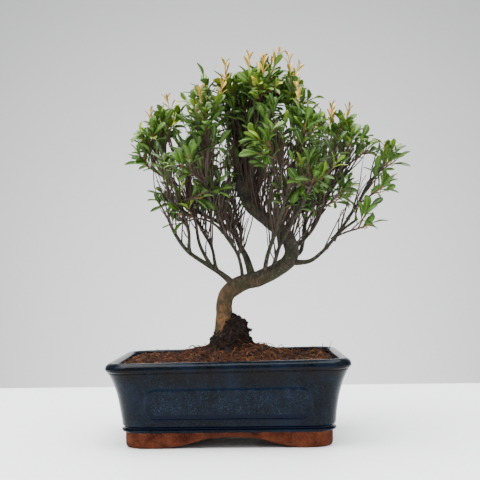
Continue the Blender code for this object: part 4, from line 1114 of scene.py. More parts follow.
def coir_paths(number, rng):
    """Loose fibres on the soil: a random walk in the heading, each arched over the soil by a sine."""
    edge_x, edge_y = RIM_LENGTH / 2 - FIBRE_EDGE, RIM_DEPTH / 2 - FIBRE_EDGE
    start = np.stack([rng.uniform(-edge_x, edge_x, number), rng.uniform(-edge_y, edge_y, number)], axis=-1)
    heading = rng.uniform(0, 2 * math.pi, number)[:, None]
    heading = heading + np.cumsum(rng.normal(0, 0.42, (number, FIBRE_POINTS)), axis=1)
    step = rng.uniform(0.5, 2.6, number)[:, None]
    x = start[:, :1] + np.cumsum(np.cos(heading) * step, axis=1)
    y = start[:, 1:] + np.cumsum(np.sin(heading) * step, axis=1)
    x, y = np.clip(x, -edge_x, edge_x), np.clip(y, -edge_y, edge_y)
    arc = np.sin(np.linspace(0, math.pi, FIBRE_POINTS))[None] * rng.gamma(1.2, 0.9, number)[:, None]
    z = rough_height(x, y) + 0.35 + np.minimum(arc, LONGEST_ARC)
    return np.stack([x, y, z], axis=-1)


def clump_paths(number, rng):
    """Root hairs and fibres matted over the clump: a random walk round and down it, arched by a sine."""
    turn = rng.uniform(0, 2 * math.pi, number)[:, None]
    turn = turn + np.cumsum(rng.normal(0, 0.13, (number, FIBRE_POINTS)), axis=1)
    start = rng.uniform(74, 106, number)[:, None]
    level = start - np.linspace(0, 1, FIBRE_POINTS)[None] * rng.uniform(-4, 12, number)[:, None]
    arc = np.sin(np.linspace(0, math.pi, FIBRE_POINTS))[None] * rng.gamma(1.3, 0.55, number)[:, None]
    places = clump_point(turn, np.clip(level, 72, 106), np.minimum(0.25 + arc, 3.2))
    return places + rng.normal(0, 0.25, (number, FIBRE_POINTS, 3))


def crumb_arrays(number, rng):
    """Small lumps of compost: octahedra with uneven corners, sunk in the soil, one in four on the clump."""
    edge_x, edge_y = RIM_LENGTH / 2 - CRUMB_EDGE, RIM_DEPTH / 2 - CRUMB_EDGE
    x, y = rng.uniform(-edge_x, edge_x, number), rng.uniform(-edge_y, edge_y, number)
    clumped = (np.arange(number) < number // 4)[:, None]
    on_clump = clump_point(rng.uniform(0, 2 * math.pi, number), rng.uniform(73, 101.5, number), 0.2)
    size = rng.gamma(2.2, 0.42, number).clip(0.4, 2.6)
    place = np.where(clumped, on_clump, np.stack([x, y, rough_height(x, y) + size * 0.25], axis=-1))
    corners = np.array([[1, 0, 0], [0, 1, 0], [-1, 0, 0], [0, -1, 0], [0, 0, 1], [0, 0, -1]], float)
    shape = corners[None] * rng.uniform(0.55, 1.25, (number, 6, 1)) + rng.normal(0, 0.16, (number, 6, 3))
    points = place[:, None] + shape * size[:, None, None]
    belt = np.arange(4)
    after = (belt + 1) % 4
    triangles = np.concatenate([np.stack([belt, after, np.full(4, 4)], axis=-1),
                                np.stack([after, belt, np.full(4, 5)], axis=-1)])
    step = (np.arange(number) * 6)[:, None, None]
    return points.reshape(-1, 3), (triangles[None] + step).reshape(-1, 3)


# Foot, bend and tip of each stiff fibre that stands out of the soil
STRAYS = (((87, 10, 67), (88, 9, 74), (90.5, 8, 81)), ((84, 30, 66), (83, 29, 72), (84, 27, 77)),
          ((92, -4, 66), (88, -6, 73), (80, -9, 74)), ((-58, -48, 65), (-60, -50, 69), (-59, -52, 72)))


def stray_fibres():
    """The stiff fibres as quadratic curves from foot to tip, drawn towards the bend."""
    t = np.linspace(0, 1, FIBRE_POINTS)[None, :, None]
    foot, bend, tip = (np.array(STRAYS, float)[:, index, None] for index in range(3))
    return foot * (1 - t) ** 2 + 2 * bend * t * (1 - t) + tip * t ** 2


# Finishes

def linear(hexcode):
    """An sRGB hex colour as linear red, green, blue and alpha."""
    channels = [int(hexcode[i:i + 2], 16) / 255 for i in (0, 2, 4)]
    return (*[c / 12.92 if c <= 0.04045 else ((c + 0.055) / 1.055) ** 2.4 for c in channels], 1.0)


def new_material(name, roughness, **constants):
    """A material with one Principled shader, what adds nodes to it, and the place on the object."""
    made = bpy.data.materials.new(name)
    made.use_nodes = True
    sockets = made.node_tree.nodes["Principled BSDF"].inputs
    for socket, value in {"Roughness": roughness, **constants}.items():
        sockets[socket].default_value = value
    node = functools.partial(add_node, made.node_tree)
    return made, node, node("TexCoord", output="Object")


def add_node(tree, kind, inputs=None, output=0, stops=(), **settings):
    """Adds a node, gives each input its link or value, and returns one output. Stops are a ramp's.

    Inputs and outputs go by name, or by number where names repeat: Math takes 0, 1 and 2, and a
    Mix of colours takes its factor at 0 and its colours at 6 and 7, and gives its result at 2.
    """
    node = tree.nodes.new("ShaderNode" + kind)
    for key, value in settings.items():
        setattr(node, key, value)
    for key, value in (inputs or {}).items():
        if isinstance(value, bpy.types.NodeSocket):
            tree.links.new(value, node.inputs[key])
        else:
            node.inputs[key].default_value = value
    for index, (place, colour) in enumerate(stops):
        elements = node.color_ramp.elements
        element = elements[index] if index < len(elements) else elements.new(place)
        element.position, element.color = place, colour
    return node.outputs[output]


def connect(made, colour, relief=None, depth=0.0, roughness=None):
    """Links a material's colour and, where given, its relief, of a depth in mm, and its roughness."""
    tree = made.node_tree
    sockets = tree.nodes["Principled BSDF"].inputs
    tree.links.new(colour, sockets["Base Color"])
    if relief is not None:
        bump = add_node(tree, "Bump", {"Height": relief, "Distance": depth * MM})
        tree.links.new(bump, sockets["Normal"])
    if roughness is not None:
        tree.links.new(roughness, sockets["Roughness"])
    return made


def scale_of(millimetres):
    """The scale of a noise whose blobs are this wide."""
    return 1.0 / (millimetres * MM)


# Heights over the table between which a finish sets in: none of it at the first, all at the second
BROWN_FROM, BROWN_TO = (50, 60), (67, 64)      # the brown glaze under the lip, from below and from above
GLAZE_FADE, GLAZE_WAVER = (12.2, 12.8), 0.8    # the glaze over bare clay, and how far its edge wavers
# The second pair darkens the bark higher up, towards the colour of the cracks: the limbs' darker bark and
# painted shade under the crown.
FOOT_BROWN, UPPER_DARK_AND_SHADE, OLD_BARK = (140, 108), (125, 165), (235, 180)   # of the bark


def glazed_stoneware():
    """Stoneware with a dark blue gloss glaze that breaks to pale specks, and a bare clay foot.

    The glaze is fired glass, so it is smooth and mirrors the table and the lights; it is near black
    where it pools, in the groove and under the panel, which is also painted shade there, and paler on
    the panel's top edge, where thin glaze also stands in for a painted highlight. The clay below is
    dry, matt and red-brown.
    """
    look = bpy.context.scene.bonsai_pot
    made, node, place = new_material("glazed_stoneware", 0.2, **{"Specular IOR Level": 0.08})
    pool_and_shade = node("Attribute", attribute_name="pool_and_shade", output="Fac")
    height = node("SeparateXYZ", {"Vector": place}, output="Z")
    clouds = node("TexNoise", {"Vector": place, "Scale": scale_of(24), "Detail": 4.0})
    specks = node("TexNoise", {"Vector": place, "Scale": scale_of(1.0), "Detail": 2.0, "Roughness": 0.6})
    runs = node("Mapping", {"Vector": place, "Scale": (1.0, 1.0, 0.35)})
    mottle = node("TexNoise", {"Vector": runs, "Scale": scale_of(5), "Detail": 5.0, "Roughness": 0.7})
    glaze = node("ValToRGB", {"Fac": clouds}, stops=(
        (0.36, look.glaze_dark), (0.52, look.glaze_deep), (0.66, look.glaze_slate)))
    frost = node("MapRange", {"Value": specks, "From Min": 0.45, "From Max": 0.7})
    mist = node("MapRange", {
        "Value": mottle, "From Min": 0.36, "From Max": 0.66, "To Min": 0.06, "To Max": 0.42})
    raised = node("Attribute", attribute_name="raised", output="Fac")
    raised = node("MapRange", {"Value": raised, "To Min": 0.75, "To Max": 1.3})
    mist = node("Math", {0: mist, 1: raised}, operation="MULTIPLY")
    frosted = node("Math", {0: frost, 1: mist}, operation="MULTIPLY")
    # Painted highlight and shade: thin glaze on the panel's top edge is painted paler, and pooled glaze under
    # it and in the groove darker. Both also stand in for light from above.
    thin = node("MapRange", {"Value": pool_and_shade, "From Min": -0.05, "From Max": -0.6, "To Max": 0.2})
    pooled_and_shaded = node("MapRange", {"Value": pool_and_shade, "From Min": 0.05, "From Max": 0.4, "To Max": 0.9})
    below, above = (node("MapRange", {"Value": height, "From Min": first * MM, "From Max": last * MM})
                    for first, last in (BROWN_FROM, BROWN_TO))
    lip = node("Math", {0: below, 1: above}, operation="MULTIPLY")
    patches = node("TexNoise", {"Vector": place, "Scale": scale_of(34), "Detail": 3.0})
    patches = node("MapRange", {"Value": patches, "From Min": 0.4, "From Max": 0.62, "To Max": 0.8})
    brown = node("Math", {0: lip, 1: patches}, operation="MULTIPLY")
    for amount, coat in ((frosted, look.glaze_pale), (thin, look.glaze_edge_and_highlight), (pooled_and_shaded, look.glaze_pool_and_shade),
                         (brown, look.glaze_brown)):
        glaze = node("Mix", {0: amount, 6: glaze, 7: coat}, 2, data_type="RGBA")
    waver = node("TexNoise", {"Vector": place, "Scale": scale_of(7)})
    waver = node("MapRange", {"Value": waver, "To Min": -GLAZE_WAVER * MM, "To Max": GLAZE_WAVER * MM})
    line = node("Math", {0: height, 1: waver}, operation="ADD")
    first, last = GLAZE_FADE
    glazed = node("MapRange", {"Value": line, "From Min": first * MM, "From Max": last * MM})
    grit = node("TexNoise", {"Vector": place, "Scale": scale_of(1.3), "Detail": 5.0, "Roughness": 0.75})
    stains = node("TexNoise", {"Vector": place, "Scale": scale_of(9), "Detail": 4.0, "Roughness": 0.6})
    worn = node("Math", {0: grit, 1: stains}, operation="ADD")
    worn = node("Math", {0: worn, 1: 0.5}, operation="MULTIPLY")
    clay = node("ValToRGB", {"Fac": worn}, stops=(
        (0.38, look.clay_dark), (0.5, look.clay), (0.63, look.clay_pale)))
    colour = node("Mix", {0: glazed, 6: clay, 7: glaze}, 2, data_type="RGBA")
    matt = node("MapRange", {"Value": glazed, "To Min": 0.82, "To Max": 0.13})
    dulled = node("Math", {0: frosted, 1: 0.25, 2: matt}, operation="MULTIPLY_ADD")
    skin = node("Math", {0: specks, 1: 0.35}, operation="MULTIPLY")
    skin = node("Math", {0: mottle, 1: skin}, operation="ADD")
    return connect(made, colour, skin, 0.16, dulled)


def coir_compost():
    """Coir: coconut fibre compost, matt, from nearly black crumbs to red-brown threads."""
    look = bpy.context.scene.bonsai_soil
    made, node, place = new_material("coir_compost", 0.96)
    tone = node("Attribute", attribute_name="tone", output="Fac")
    grain = node("TexNoise", {"Vector": place, "Scale": scale_of(1.6), "Detail": 5.0, "Roughness": 0.75})
    grain = node("Math", {0: grain, 1: 0.8}, operation="MULTIPLY")
    mixed = node("Math", {0: tone, 1: 0.62, 2: grain}, operation="MULTIPLY_ADD")
    colour = node("ValToRGB", {"Fac": mixed}, stops=(
        (0.32, look.dark), (0.5, look.brown), (0.72, look.red), (0.98, look.straw)))
    crumbs = node("TexNoise", {"Vector": place, "Scale": scale_of(0.8), "Detail": 4.0, "Roughness": 0.7})
    return connect(made, colour, crumbs, 0.8)


def cherry_bark():
    """Living bark of brush cherry: grey-brown, finely cracked, with a green film and pale lichen spots.

    The cracks run along the stem, so the pattern is drawn out upwards; the foot is browner and barer,
    and higher up the bark is darkened for the limbs' darker bark and for painted shade under the crown.
    """
    look = bpy.context.scene.bonsai_wood
    made, node, place = new_material("cherry_bark", 0.86)
    height = node("SeparateXYZ", {"Vector": place}, output="Z")
    drawn = node("Mapping", {"Vector": place, "Scale": (1.0, 1.0, 0.4)})
    plates = node("TexNoise", {"Vector": drawn, "Scale": scale_of(3.0), "Detail": 6.0, "Roughness": 0.72})
    fine = node("TexNoise", {"Vector": drawn, "Scale": scale_of(0.9), "Detail": 4.0, "Roughness": 0.7})
    film = node("TexNoise", {"Vector": place, "Scale": scale_of(11), "Detail": 4.0, "Roughness": 0.6})
    spots = node("TexNoise", {"Vector": place, "Scale": scale_of(2.2), "Detail": 3.0, "Roughness": 0.6})
    bark = node("ValToRGB", {"Fac": plates}, stops=(
        (0.34, look.crack_and_shade), (0.47, look.bark), (0.66, look.bark_pale)))
    strips = node("MapRange", {"Value": fine, "From Min": 0.36, "From Max": 0.56, "To Min": 0.1})
    # Painted shade: above 125 mm the bark is mixed towards the colour of the cracks, for the crown's shade as
    # well as the limbs' darker bark.
    low, upper, old = (
        node("MapRange", {"Value": height, "From Min": first * MM, "From Max": last * MM, "To Max": most})
        for (first, last), most in ((FOOT_BROWN, 0.85), (UPPER_DARK_AND_SHADE, 0.5), (OLD_BARK, 1.0)))
    low = node("Math", {0: low, 1: strips}, operation="MULTIPLY")
    patch = node("MapRange", {"Value": film, "From Min": 0.45, "From Max": 0.6, "To Max": 0.75})
    green = node("Math", {0: patch, 1: old}, operation="MULTIPLY")
    spots = node("MapRange", {"Value": spots, "From Min": 0.62, "From Max": 0.7, "To Max": 0.6})
    lichen = node("Math", {0: spots, 1: old}, operation="MULTIPLY")
    for amount, layer in ((low, look.bark_foot), (upper, look.crack_and_shade), (green, look.algae),
                          (lichen, look.lichen)):
        bark = node("Mix", {0: amount, 6: bark, 7: layer}, 2, data_type="RGBA")
    ridges = node("Math", {0: fine, 1: 0.45, 2: plates}, operation="MULTIPLY_ADD")
    return connect(made, bark, ridges, 3.2)


def young_wood():
    """Thin twigs: smooth bark from dark brown where old to orange-tan near the tips."""
    look = bpy.context.scene.bonsai_wood
    made, node, place = new_material("young_wood", 0.66)
    tone = node("Attribute", attribute_name="tone", output="Fac")
    patch = node("TexNoise", {"Vector": place, "Scale": scale_of(4), "Detail": 3.0})
    patch = node("MapRange", {"Value": patch, "To Min": -0.2, "To Max": 0.2})
    mixed = node("Math", {0: tone, 1: patch}, operation="ADD")
    colour = node("ValToRGB", {"Fac": mixed}, stops=(
        (0.1, look.twig_old_and_shaded), (0.5, look.twig), (0.82, look.twig_young), (1.0, look.twig_tip)))
    skin = node("TexNoise", {"Vector": place, "Scale": scale_of(0.7), "Detail": 3.0})
    return connect(made, colour, skin, 0.25)


def waxy_leaf():
    """Leaf of brush cherry: waxy and glossy above, paler below, with a pale rib and faint veins."""
    look = bpy.context.scene.bonsai_leaves
    made, node, place = new_material("waxy_leaf", 0.42, **{"Specular IOR Level": 0.26})
    tone = node("Attribute", attribute_name="tone", output="Fac")
    under = node("Attribute", attribute_name="under", output="Fac")
    blade = node("TexCoord", output="UV")
    along = node("SeparateXYZ", {"Vector": blade}, output="X")
    across = node("SeparateXYZ", {"Vector": blade}, output="Y")
    across = node("Math", {0: across, 1: 0.5}, operation="SUBTRACT")
    off_rib = node("Math", {0: across}, operation="ABSOLUTE")
    patch = node("TexNoise", {"Vector": place, "Scale": scale_of(5), "Detail": 3.0})
    patch = node("MapRange", {"Value": patch, "To Min": -0.08, "To Max": 0.08})
    mixed = node("Math", {0: tone, 1: patch}, operation="ADD")
    colour = node("ValToRGB", {"Fac": mixed}, stops=(
        (0.12, look.old), (0.4, look.mature), (0.62, look.fresh), (0.8, look.lime), (0.9, look.bronze),
        (1.0, look.bronze_tip)))
    rib = node("MapRange", {
        "Value": off_rib, "From Min": 0.02, "From Max": 0.075, "To Min": 0.5, "To Max": 0.0})
    rows = node("Math", {0: along, 1: 9.0}, operation="MULTIPLY")
    slant = node("Math", {0: off_rib, 1: -5.0, 2: rows}, operation="MULTIPLY_ADD")
    vein = node("Math", {0: slant, 1: 0.5}, operation="PINGPONG")
    vein = node("MapRange", {"Value": vein, "From Max": 0.1, "To Min": 0.1, "To Max": 0.0})
    lines = node("Math", {0: rib, 1: vein}, operation="ADD")
    pale = node("Math", {0: under, 1: 0.5}, operation="MULTIPLY")
    for amount, layer in ((lines, look.rib), (pale, look.underside)):
        colour = node("Mix", {0: amount, 6: colour, 7: layer}, 2, data_type="RGBA")
    rough = node("Math", {0: under, 1: 0.2, 2: 0.42}, operation="MULTIPLY_ADD")
    sunk = node("Math", {0: lines, 1: -1.0}, operation="MULTIPLY")
    return connect(made, colour, sunk, 0.12, rough)


def screen_plastic():
    """Moulded polyethylene mesh: dull black, with a slight orange-peel skin."""
    look = bpy.context.scene.bonsai_soil
    made, node, place = new_material("screen_plastic", 0.55)
    patch = node("TexNoise", {"Vector": place, "Scale": scale_of(6)})
    colour = node("ValToRGB", {"Fac": patch}, stops=((0.3, look.screen), (0.7, look.screen_worn)))
    peel = node("TexNoise", {"Vector": place, "Scale": scale_of(0.5)})
    return connect(made, colour, peel, 0.05)


def painted_board(name, colour, roughness):
    """Painted board for the stage: even and matt, with a faint roller grain 2 mm wide."""
    made, node, place = new_material(name, roughness)
    grain = node("TexNoise", {"Vector": place, "Scale": scale_of(2)})
    shade = [channel * 0.97 for channel in colour[:3]]
    mixed = node("ValToRGB", {"Fac": grain}, stops=((0.3, (*shade, 1.0)), (0.7, colour)))
    return connect(made, mixed)


# Settings

def colour_choice(name, hexcode, words):
    """A colour property whose default is given as an sRGB hex value."""
    return FloatVectorProperty(name=name, description=words, subtype="COLOR", size=4, min=0.0, max=1.0,
                               default=linear(hexcode))


class BonsaiPot(bpy.types.PropertyGroup):
    """Colours of the glaze and clay."""
    glaze_dark: colour_choice("Glaze dark", "030508", "Darkest clouds of the glaze")
    glaze_deep: colour_choice("Glaze", "050A11", "Main colour of the glaze")
    glaze_slate: colour_choice("Glaze slate", "0A131F", "Thinner, lighter glaze")
    glaze_pale: colour_choice("Glaze specks", "2B3F59", "Pale specks in the glaze")
    # The colours for the glaze's thin edge and its pooling also carry a painted highlight on the panel's top
    # edge and painted shade under it and in the groove.
    glaze_edge_and_highlight: colour_choice("Glaze edge", "1A2D48", "Where the glaze runs thin on an edge")
    glaze_pool_and_shade: colour_choice("Glaze pool", "010619", "Where the glaze has pooled")
    glaze_brown: colour_choice("Glaze brown", "0E0806", "Brown-black glaze under the lip")
    clay: colour_choice("Clay", "50281A", "Bare clay of the foot")
    clay_dark: colour_choice("Clay dark", "280F07", "Dark grains and stains in the clay")
    clay_pale: colour_choice("Clay pale", "683823", "Pale grains in the clay")


class BonsaiSoil(bpy.types.PropertyGroup):
    """Amount and colours of the coir, and the colours of the drain screens under it."""
    fibres: IntProperty(name="Fibres", description="Loose coir fibres on the soil", default=2800, min=0)
    root_fibres: IntProperty(name="Root fibres", description="Fibres matted round the foot of the trunk",
                             default=1300, min=0)
    crumbs: IntProperty(name="Crumbs", description="Small lumps of compost", default=6500, min=0)
    dark: colour_choice("Dark", "040201", "Shaded crumbs")
    brown: colour_choice("Brown", "140802", "Compost")
    red: colour_choice("Red brown", "522606", "Coir threads")
    straw: colour_choice("Straw", "8A5728", "Dry threads")
    screen: colour_choice("Screen", "151514", "Plastic of the drain screens")
    screen_worn: colour_choice("Screen worn", "242422", "Its scuffed places")


class BonsaiWood(bpy.types.PropertyGroup):
    """Bark relief and colours."""
    relief: FloatProperty(name="Bark relief", default=0.1, min=0.0, max=0.3,
                          description="Depth of the bark's ridges, as a share of the radius")
    # This dark colour is also painted over the upper trunk and limbs as shade.
    crack_and_shade: colour_choice("Crack", "15110A", "Cracks in the bark")
    bark: colour_choice("Bark", "2B2318", "Grey-brown bark")
    bark_pale: colour_choice("Bark pale", "5F5238", "Dry ridges of the bark")
    bark_foot: colour_choice("Bark foot", "8E6238", "Bare brown bark near the soil")
    algae: colour_choice("Algae", "2B2E10", "Green film on the old bark")
    lichen: colour_choice("Lichen", "646C4C", "Pale spots of lichen")
    # The twig colours follow age along each twig, and also painted shade: twigs inside the crown get a darker
    # tone.
    twig_old_and_shaded: colour_choice("Twig old", "20140B", "Older twigs")
    twig: colour_choice("Twig", "3A2515", "Twigs")
    twig_young: colour_choice("Twig young", "7A4C22", "Young twigs")
    twig_tip: colour_choice("Twig tip", "B98A3A", "Tips of young twigs")


class BonsaiLeaves(bpy.types.PropertyGroup):
    """Colours of the leaves by age, and by painted light: their tone rises with light_at, so the darker
    greens also stand for shade inside the crown and the paler for light at its top.
    """
    old: colour_choice("Old", "0D1A03", "Oldest leaves")
    mature: colour_choice("Mature", "1C3704", "Grown leaves")
    fresh: colour_choice("Fresh", "3D5F06", "Fresh leaves")
    lime: colour_choice("Lime", "879A12", "Newest green leaves")
    bronze: colour_choice("Bronze", "D8AA42", "Young shoots")
    bronze_tip: colour_choice("Bronze tip", "CC9450", "Tips of young shoots")
    rib: colour_choice("Rib", "7E9A40", "Midrib and veins")
    underside: colour_choice("Underside", "50702E", "Lower face")


class BonsaiStage(bpy.types.PropertyGroup):
    """Camera and light."""
    lens: FloatProperty(name="Lens", description="Focal length in millimetres", default=63.75, min=10)
    camera_place: FloatVectorProperty(name="Camera", description="From the middle of the pot's foot", size=3,
                                      subtype="TRANSLATION", unit="LENGTH", default=(0.0200, -0.7483, 0.1323))
    yaw: FloatProperty(name="Yaw", description="Turn to the left", subtype="ANGLE",
                       default=math.radians(0.78))
    pitch: FloatProperty(name="Pitch", description="Tilt upwards", subtype="ANGLE",
                         default=math.radians(2.89))
    roll: FloatProperty(name="Roll", description="Tilt to the left", subtype="ANGLE",
                        default=math.radians(0.71))
    wall: colour_choice("Wall", "A0A0A0", "Backdrop")
    table: colour_choice("Table", "FAFCFD", "Surface under the pot")
    room: colour_choice("Room", "F5FAFF", "Light of the room all round")
    room_light: FloatProperty(name="Room light", description="Strength of the room's light",
                              default=0.62, min=0.0)
    table_depth: FloatProperty(name="Table depth", description="From the pot to the table's far edge",
                               unit="LENGTH", default=0.355)


# Operators

TRUNK_STEP, LIMB_STEP = 1.6, 2.4   # between the rings of the bark
TRUNK_SIDES, LIMB_SIDES, BRANCH_SIDES, TWIG_SIDES, SHOOT_SIDES = 40, 14, 9, 8, 6
COLLAR, COLLAR_REACH = 0.75, 2.2   # swelling where a limb leaves its host, and its reach in radii
BOUGH = 3                      # sprays whose leaves make one piece
# The stage in metres from the pot: half width of the table, its front edge and its thickness, then
# the wall's half width, distance, lower edge and upper edge
TABLE_HALF, TABLE_FRONT, TABLE_THICK = 3.0, -2.5, 0.04
WALL_HALF, WALL_BACK, WALL_LOW, WALL_HIGH = 6.0, 1.9, -2.0, 4.5
# Each light's name, place, target, size in metres, power in watts and colour
LIGHTS = (("top", (0.05, 0.0, 1.45), (0.0, 0.0, 0.1), 1.7, 88.0, (1.0, 1.0, 1.0)),
          ("key", (-0.8, -0.45, 1.3), (0.0, 0.0, 0.15), 1.0, 22.0, (1.0, 0.985, 0.95)),
          ("fill", (1.2, -0.7, 0.8), (0.0, 0.0, 0.15), 1.2, 4.0, (0.96, 0.98, 1.0)),
          ("wall_wash", (0.0, 1.1, -0.2), (0.0, WALL_BACK, 0.1), 1.5, 50.0, (1.0, 1.0, 1.0)))


class PieceOperator:
    """What the operators for pieces share."""
    bl_options = {"REGISTER", "UNDO"}


class BONSAI_OT_pot(PieceOperator, bpy.types.Operator):
    """Adds the glazed pot with its drain holes"""
    bl_idname = "bonsai.pot"
    bl_label = "Pot"

    def execute(self, context):
        points, quads, fans, pool_and_shade, raised = pot_surface()
        piece = build_mesh("pot_glazed", points, [quads, fans], glazed_stoneware(),
                           {"pool_and_shade": pool_and_shade, "raised": raised})
        for sign in (1, -1):
            bpy.ops.mesh.primitive_cylinder_add(vertices=48, radius=DRAIN_RADIUS * MM, depth=0.02,
                                                location=(MIDDLE + (sign * DRAIN_SPREAD, 0, FLOOR_TOP)) * MM)
            hole = context.object
            cut = piece.modifiers.new("Drain hole", "BOOLEAN")
            cut.operation, cut.solver, cut.object = "DIFFERENCE", "EXACT", hole
            context.view_layer.update()
            seen = piece.evaluated_get(context.evaluated_depsgraph_get())
            piece.data = bpy.data.meshes.new_from_object(seen)
            piece.modifiers.clear()
            bpy.data.objects.remove(hole)
        finish_piece(piece, "glazed_stoneware", "pot")
        return {"FINISHED"}


class BONSAI_OT_soil(PieceOperator, bpy.types.Operator):
    """Adds the coir compost, its loose fibres, its crumbs and the fibres round the trunk"""
    bl_idname = "bonsai.soil"
    bl_label = "Soil"

    def execute(self, context):
        look = context.scene.bonsai_soil
        surface = coir_compost()
        rng = np.random.default_rng(SOIL_SEED)
        points, quads, fans = soil_surface()
        tone = 0.25 + 0.25 * value_noise(points[:, 0] / 9, points[:, 1] / 9, 0, 21)
        compost = build_mesh("compost", points, [quads, fans], surface, {"tone": tone})
        finish_piece(compost, "coir_soil", "soil")
        points, quads, fans = clump_surface()
        clump = build_mesh("root_clump", points, [quads, fans], surface, {"tone": np.full(len(points), 0.03)})
        finish_piece(clump, "coir_soil")
        # Name, paths, least and most radius, and share of the tone: those on the clump are darker
        for name, paths, radius, shade in (
                ("coir_fibres", coir_paths(look.fibres, rng), (0.14, 0.42), 1.0),
                ("root_fibres", clump_paths(look.root_fibres, rng), (0.13, 0.42), 0.28),
                ("stray_fibres", stray_fibres(), (0.25, 0.4), 1.0)):
            number = len(paths)
            points, quads, fans, each = thread_arrays(paths, rng.uniform(*radius, number), FIBRE_SIDES)
            tone = np.repeat(np.clip(rng.gamma(2.0, 0.24, number), 0, 1) * shade, each)
            finish_piece(build_mesh(name, points, [quads, fans], surface, {"tone": tone}), "coir_soil")
        points, triangles = crumb_arrays(look.crumbs, rng)
        tone = np.repeat(rng.uniform(0.0, 0.42, look.crumbs), 6)
        crumbs = build_mesh("compost_crumbs", points, [triangles], surface, {"tone": tone}, smooth=False)
        finish_piece(crumbs, "coir_soil")
        return {"FINISHED"}


class BONSAI_OT_trunk(PieceOperator, bpy.types.Operator):
    """Adds the trunk, roots, limbs and bare branches"""
    bl_idname = "bonsai.trunk"
    bl_label = "Trunk"

    def execute(self, context):
        look = context.scene.bonsai_wood
        tree = grow_crown()[0]
        shell = Shell()
        for index, (points, radii) in enumerate([wood[1:] for wood in tree.wood if wood[0] == 0]):
            path = smooth(points, LIMB_STEP if index else TRUNK_STEP)
            along, fine = lengths_along(points), lengths_along(path)
            size = np.interp(fine / fine[-1], along / along[-1], radii)
            sides = LIMB_SIDES if radii[0] > BRANCH_RADIUS else BRANCH_SIDES
            sides = sides if index else TRUNK_SIDES
            if index > len(ROOTS):
                size = size * (1 + COLLAR * np.exp(-fine / (radii[0] * COLLAR_REACH)))
            angle = np.arange(sides) * 2 * math.pi / sides
            turn_x, turn_y = np.cos(angle)[None] * 2.2, np.sin(angle)[None] * 2.2
            knots = value_noise(turn_x * 0.5 + index * 9.1, turn_y * 0.5, fine[:, None] / 14, 31)
            ridge = value_noise(turn_x * 1.7 + index * 5.3, turn_y * 1.7, fine[:, None] / 5.5, 32)
            relief = 1 + look.relief * (1.2 * knots + 0.7 * ridge)
            shell.tube(path, size, sides, relief=relief)
        finish_piece(shell.piece("bark_trunk", cherry_bark()), "bark", "trunk")
        return {"FINISHED"}


class BONSAI_OT_twigs(PieceOperator, bpy.types.Operator):
    """Adds the twigs of every spray and the thin upright twigs between the limbs"""
    bl_idname = "bonsai.twigs"
    bl_label = "Twigs"

    def execute(self, context):
        tree, sprays, crown = grow_crown()
        shell = Shell()
        for owner, points, radii in tree.wood:
            if owner:
                path = smooth(points, 4)
                size = np.linspace(radii[0], radii[-1] * 0.8, len(path))
                shell.tube(path, size, TWIG_SIDES, np.linspace(0.3, 0.75, len(path)))
        for _, points, first, last, tone in crown.twigs:
            path = smooth(points, 5)
            size = np.linspace(first, last, len(path))
            shell.tube(path, size, SHOOT_SIDES, tone * np.linspace(0.75, 1.0, len(path)))
        nodes = [f"spray_{node:02d}" for node in range(1, sprays + 1)]
        finish_piece(shell.piece("leafy_twigs", young_wood()), "bark", *nodes)
        return {"FINISHED"}


class BONSAI_OT_leaves(PieceOperator, bpy.types.Operator):
    """Adds the leaves, in one piece for each bough of three sprays"""
    bl_idname = "bonsai.leaves"
    bl_label = "Leaves"

    def execute(self, context):
        sprays, crown = grow_crown()[1:]
        surface = waxy_leaf()
        rng = np.random.default_rng(LEAF_SEED)
        boughs = [range(first, min(first + BOUGH, sprays + 1)) for first in range(1, sprays + 1, BOUGH)]
        for number, group in enumerate([[0], *boughs]):
            chosen = [leaf for leaf in crown.leaves if leaf[0] in group]
            points, quads, fans, tone, under, uv = leaf_arrays(chosen, rng)
            name = "inner_leaves" if number == 0 else f"bough_{number:02d}_leaves"
            piece = build_mesh(name, points, [quads, fans], surface, {"tone": tone, "under": under}, uv)
            finish_piece(piece, "leaf", *[f"spray_{node:02d}" for node in group if node])
        return {"FINISHED"}


class BONSAI_OT_screens(PieceOperator, bpy.types.Operator):
    """Gives the drain screens their plastic"""
    bl_idname = "bonsai.screens"
    bl_label = "Drain screens"

    def execute(self, context):
        surface = screen_plastic()
        for name in ("drain_screen_left", "drain_screen_right"):
            screen = bpy.data.objects[name]
            screen.data.materials.clear()
            screen.data.materials.append(surface)
        return {"FINISHED"}


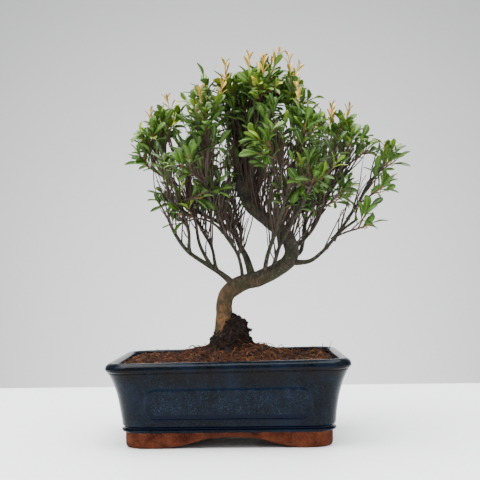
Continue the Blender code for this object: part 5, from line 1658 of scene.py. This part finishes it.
class BONSAI_OT_stage(bpy.types.Operator):
    """Adds the table, backdrop, lights and camera"""
    bl_idname = "bonsai.stage"
    bl_label = "Stage"

    def execute(self, context):
        look = context.scene.bonsai_stage
        middle = MIDDLE * MM
        far = look.table_depth
        table = painted_board("painted_table", look.table, 0.45)
        wall = painted_board("matt_wall", look.wall, 0.9)
        floor = self.plane("table_top", TABLE_HALF, (TABLE_FRONT, 0), (far, 0), table)
        front = self.plane("table_edge", TABLE_HALF, (far, 0), (far, -TABLE_THICK), table)
        back = self.plane("backdrop", WALL_HALF, (WALL_BACK, WALL_LOW), (WALL_BACK, WALL_HIGH), wall)
        camera = bpy.data.cameras.new("camera")
        camera.lens, camera.sensor_width, camera.clip_start = look.lens, 36.0, 0.01
        holder = bpy.data.objects.new("camera", camera)
        holder.location = middle + np.array(look.camera_place)
        holder.rotation_euler = (math.pi / 2 + look.pitch, look.roll, look.yaw)
        context.scene.collection.objects.link(holder)
        context.scene.camera = holder
        for light in LIGHTS:
            self.light(*light)
        world = bpy.data.worlds.new("soft_room")
        world.use_nodes = True
        background = world.node_tree.nodes["Background"]
        background.inputs["Color"].default_value = look.room
        background.inputs["Strength"].default_value = look.room_light
        context.scene.world = world
        return {"FINISHED"}

    def plane(self, name, half, first, last, surface):
        """One flat rectangle across the stage, between two edges given as depth and height."""
        corners = [(-half, *first), (half, *first), (half, *last), (-half, *last)]
        mesh = bpy.data.meshes.new(name)
        mesh.from_pydata([tuple(np.array(corner) + MIDDLE * MM) for corner in corners], [], [(0, 1, 2, 3)])
        mesh.materials.append(surface)
        piece = bpy.data.objects.new(name, mesh)
        bpy.context.scene.collection.objects.link(piece)
        return piece

    def light(self, name, place, target, size, power, colour):
        """A square soft light that faces a target."""
        lamp = bpy.data.lights.new(name, "AREA")
        lamp.size, lamp.energy, lamp.color = size, power, colour
        holder = bpy.data.objects.new(name, lamp)
        holder.location = np.array(place) + MIDDLE * MM
        away = unit(np.array(place) - target)
        holder.rotation_euler = (math.acos(away[2]), 0, math.atan2(away[0], -away[1]))
        bpy.context.scene.collection.objects.link(holder)


class BONSAI_PT_panel(bpy.types.Panel):
    """Lists the pieces in the sidebar"""
    bl_idname = "BONSAI_PT_panel"
    bl_label = "Brush Cherry Bonsai"
    bl_space_type = "VIEW_3D"
    bl_region_type = "UI"
    bl_category = "Bonsai"

    def draw(self, context):
        for operator in PIECES:
            self.layout.operator(operator.bl_idname)
        for label, group in GROUPS.items():
            box = self.layout.box()
            box.label(text=label.replace("_", " ").title())
            for field in group.__annotations__:
                box.prop(getattr(context.scene, label), field)


PIECES = (BONSAI_OT_pot, BONSAI_OT_screens, BONSAI_OT_soil, BONSAI_OT_trunk, BONSAI_OT_twigs,
          BONSAI_OT_leaves, BONSAI_OT_stage)
GROUPS = {"bonsai_pot": BonsaiPot, "bonsai_soil": BonsaiSoil, "bonsai_wood": BonsaiWood,
          "bonsai_leaves": BonsaiLeaves, "bonsai_stage": BonsaiStage}


def register():
    """Registers the settings, the operators and the panel."""
    for label, group in GROUPS.items():
        bpy.utils.register_class(group)
        setattr(bpy.types.Scene, label, PointerProperty(type=group))
    for operator in (*PIECES, BONSAI_PT_panel):
        bpy.utils.register_class(operator)


def unregister():
    """Removes them again."""
    for operator in reversed((*PIECES, BONSAI_PT_panel)):
        bpy.utils.unregister_class(operator)
    for label, group in GROUPS.items():
        delattr(bpy.types.Scene, label)
        bpy.utils.unregister_class(group)


def main():
    """Registers the add-on, then makes every piece."""
    register()
    bpy.ops.bonsai.pot()
    bpy.ops.bonsai.screens()
    bpy.ops.bonsai.soil()
    bpy.ops.bonsai.trunk()
    bpy.ops.bonsai.twigs()
    bpy.ops.bonsai.leaves()
    bpy.ops.bonsai.stage()
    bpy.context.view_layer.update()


if __name__ == "__main__":
    main()
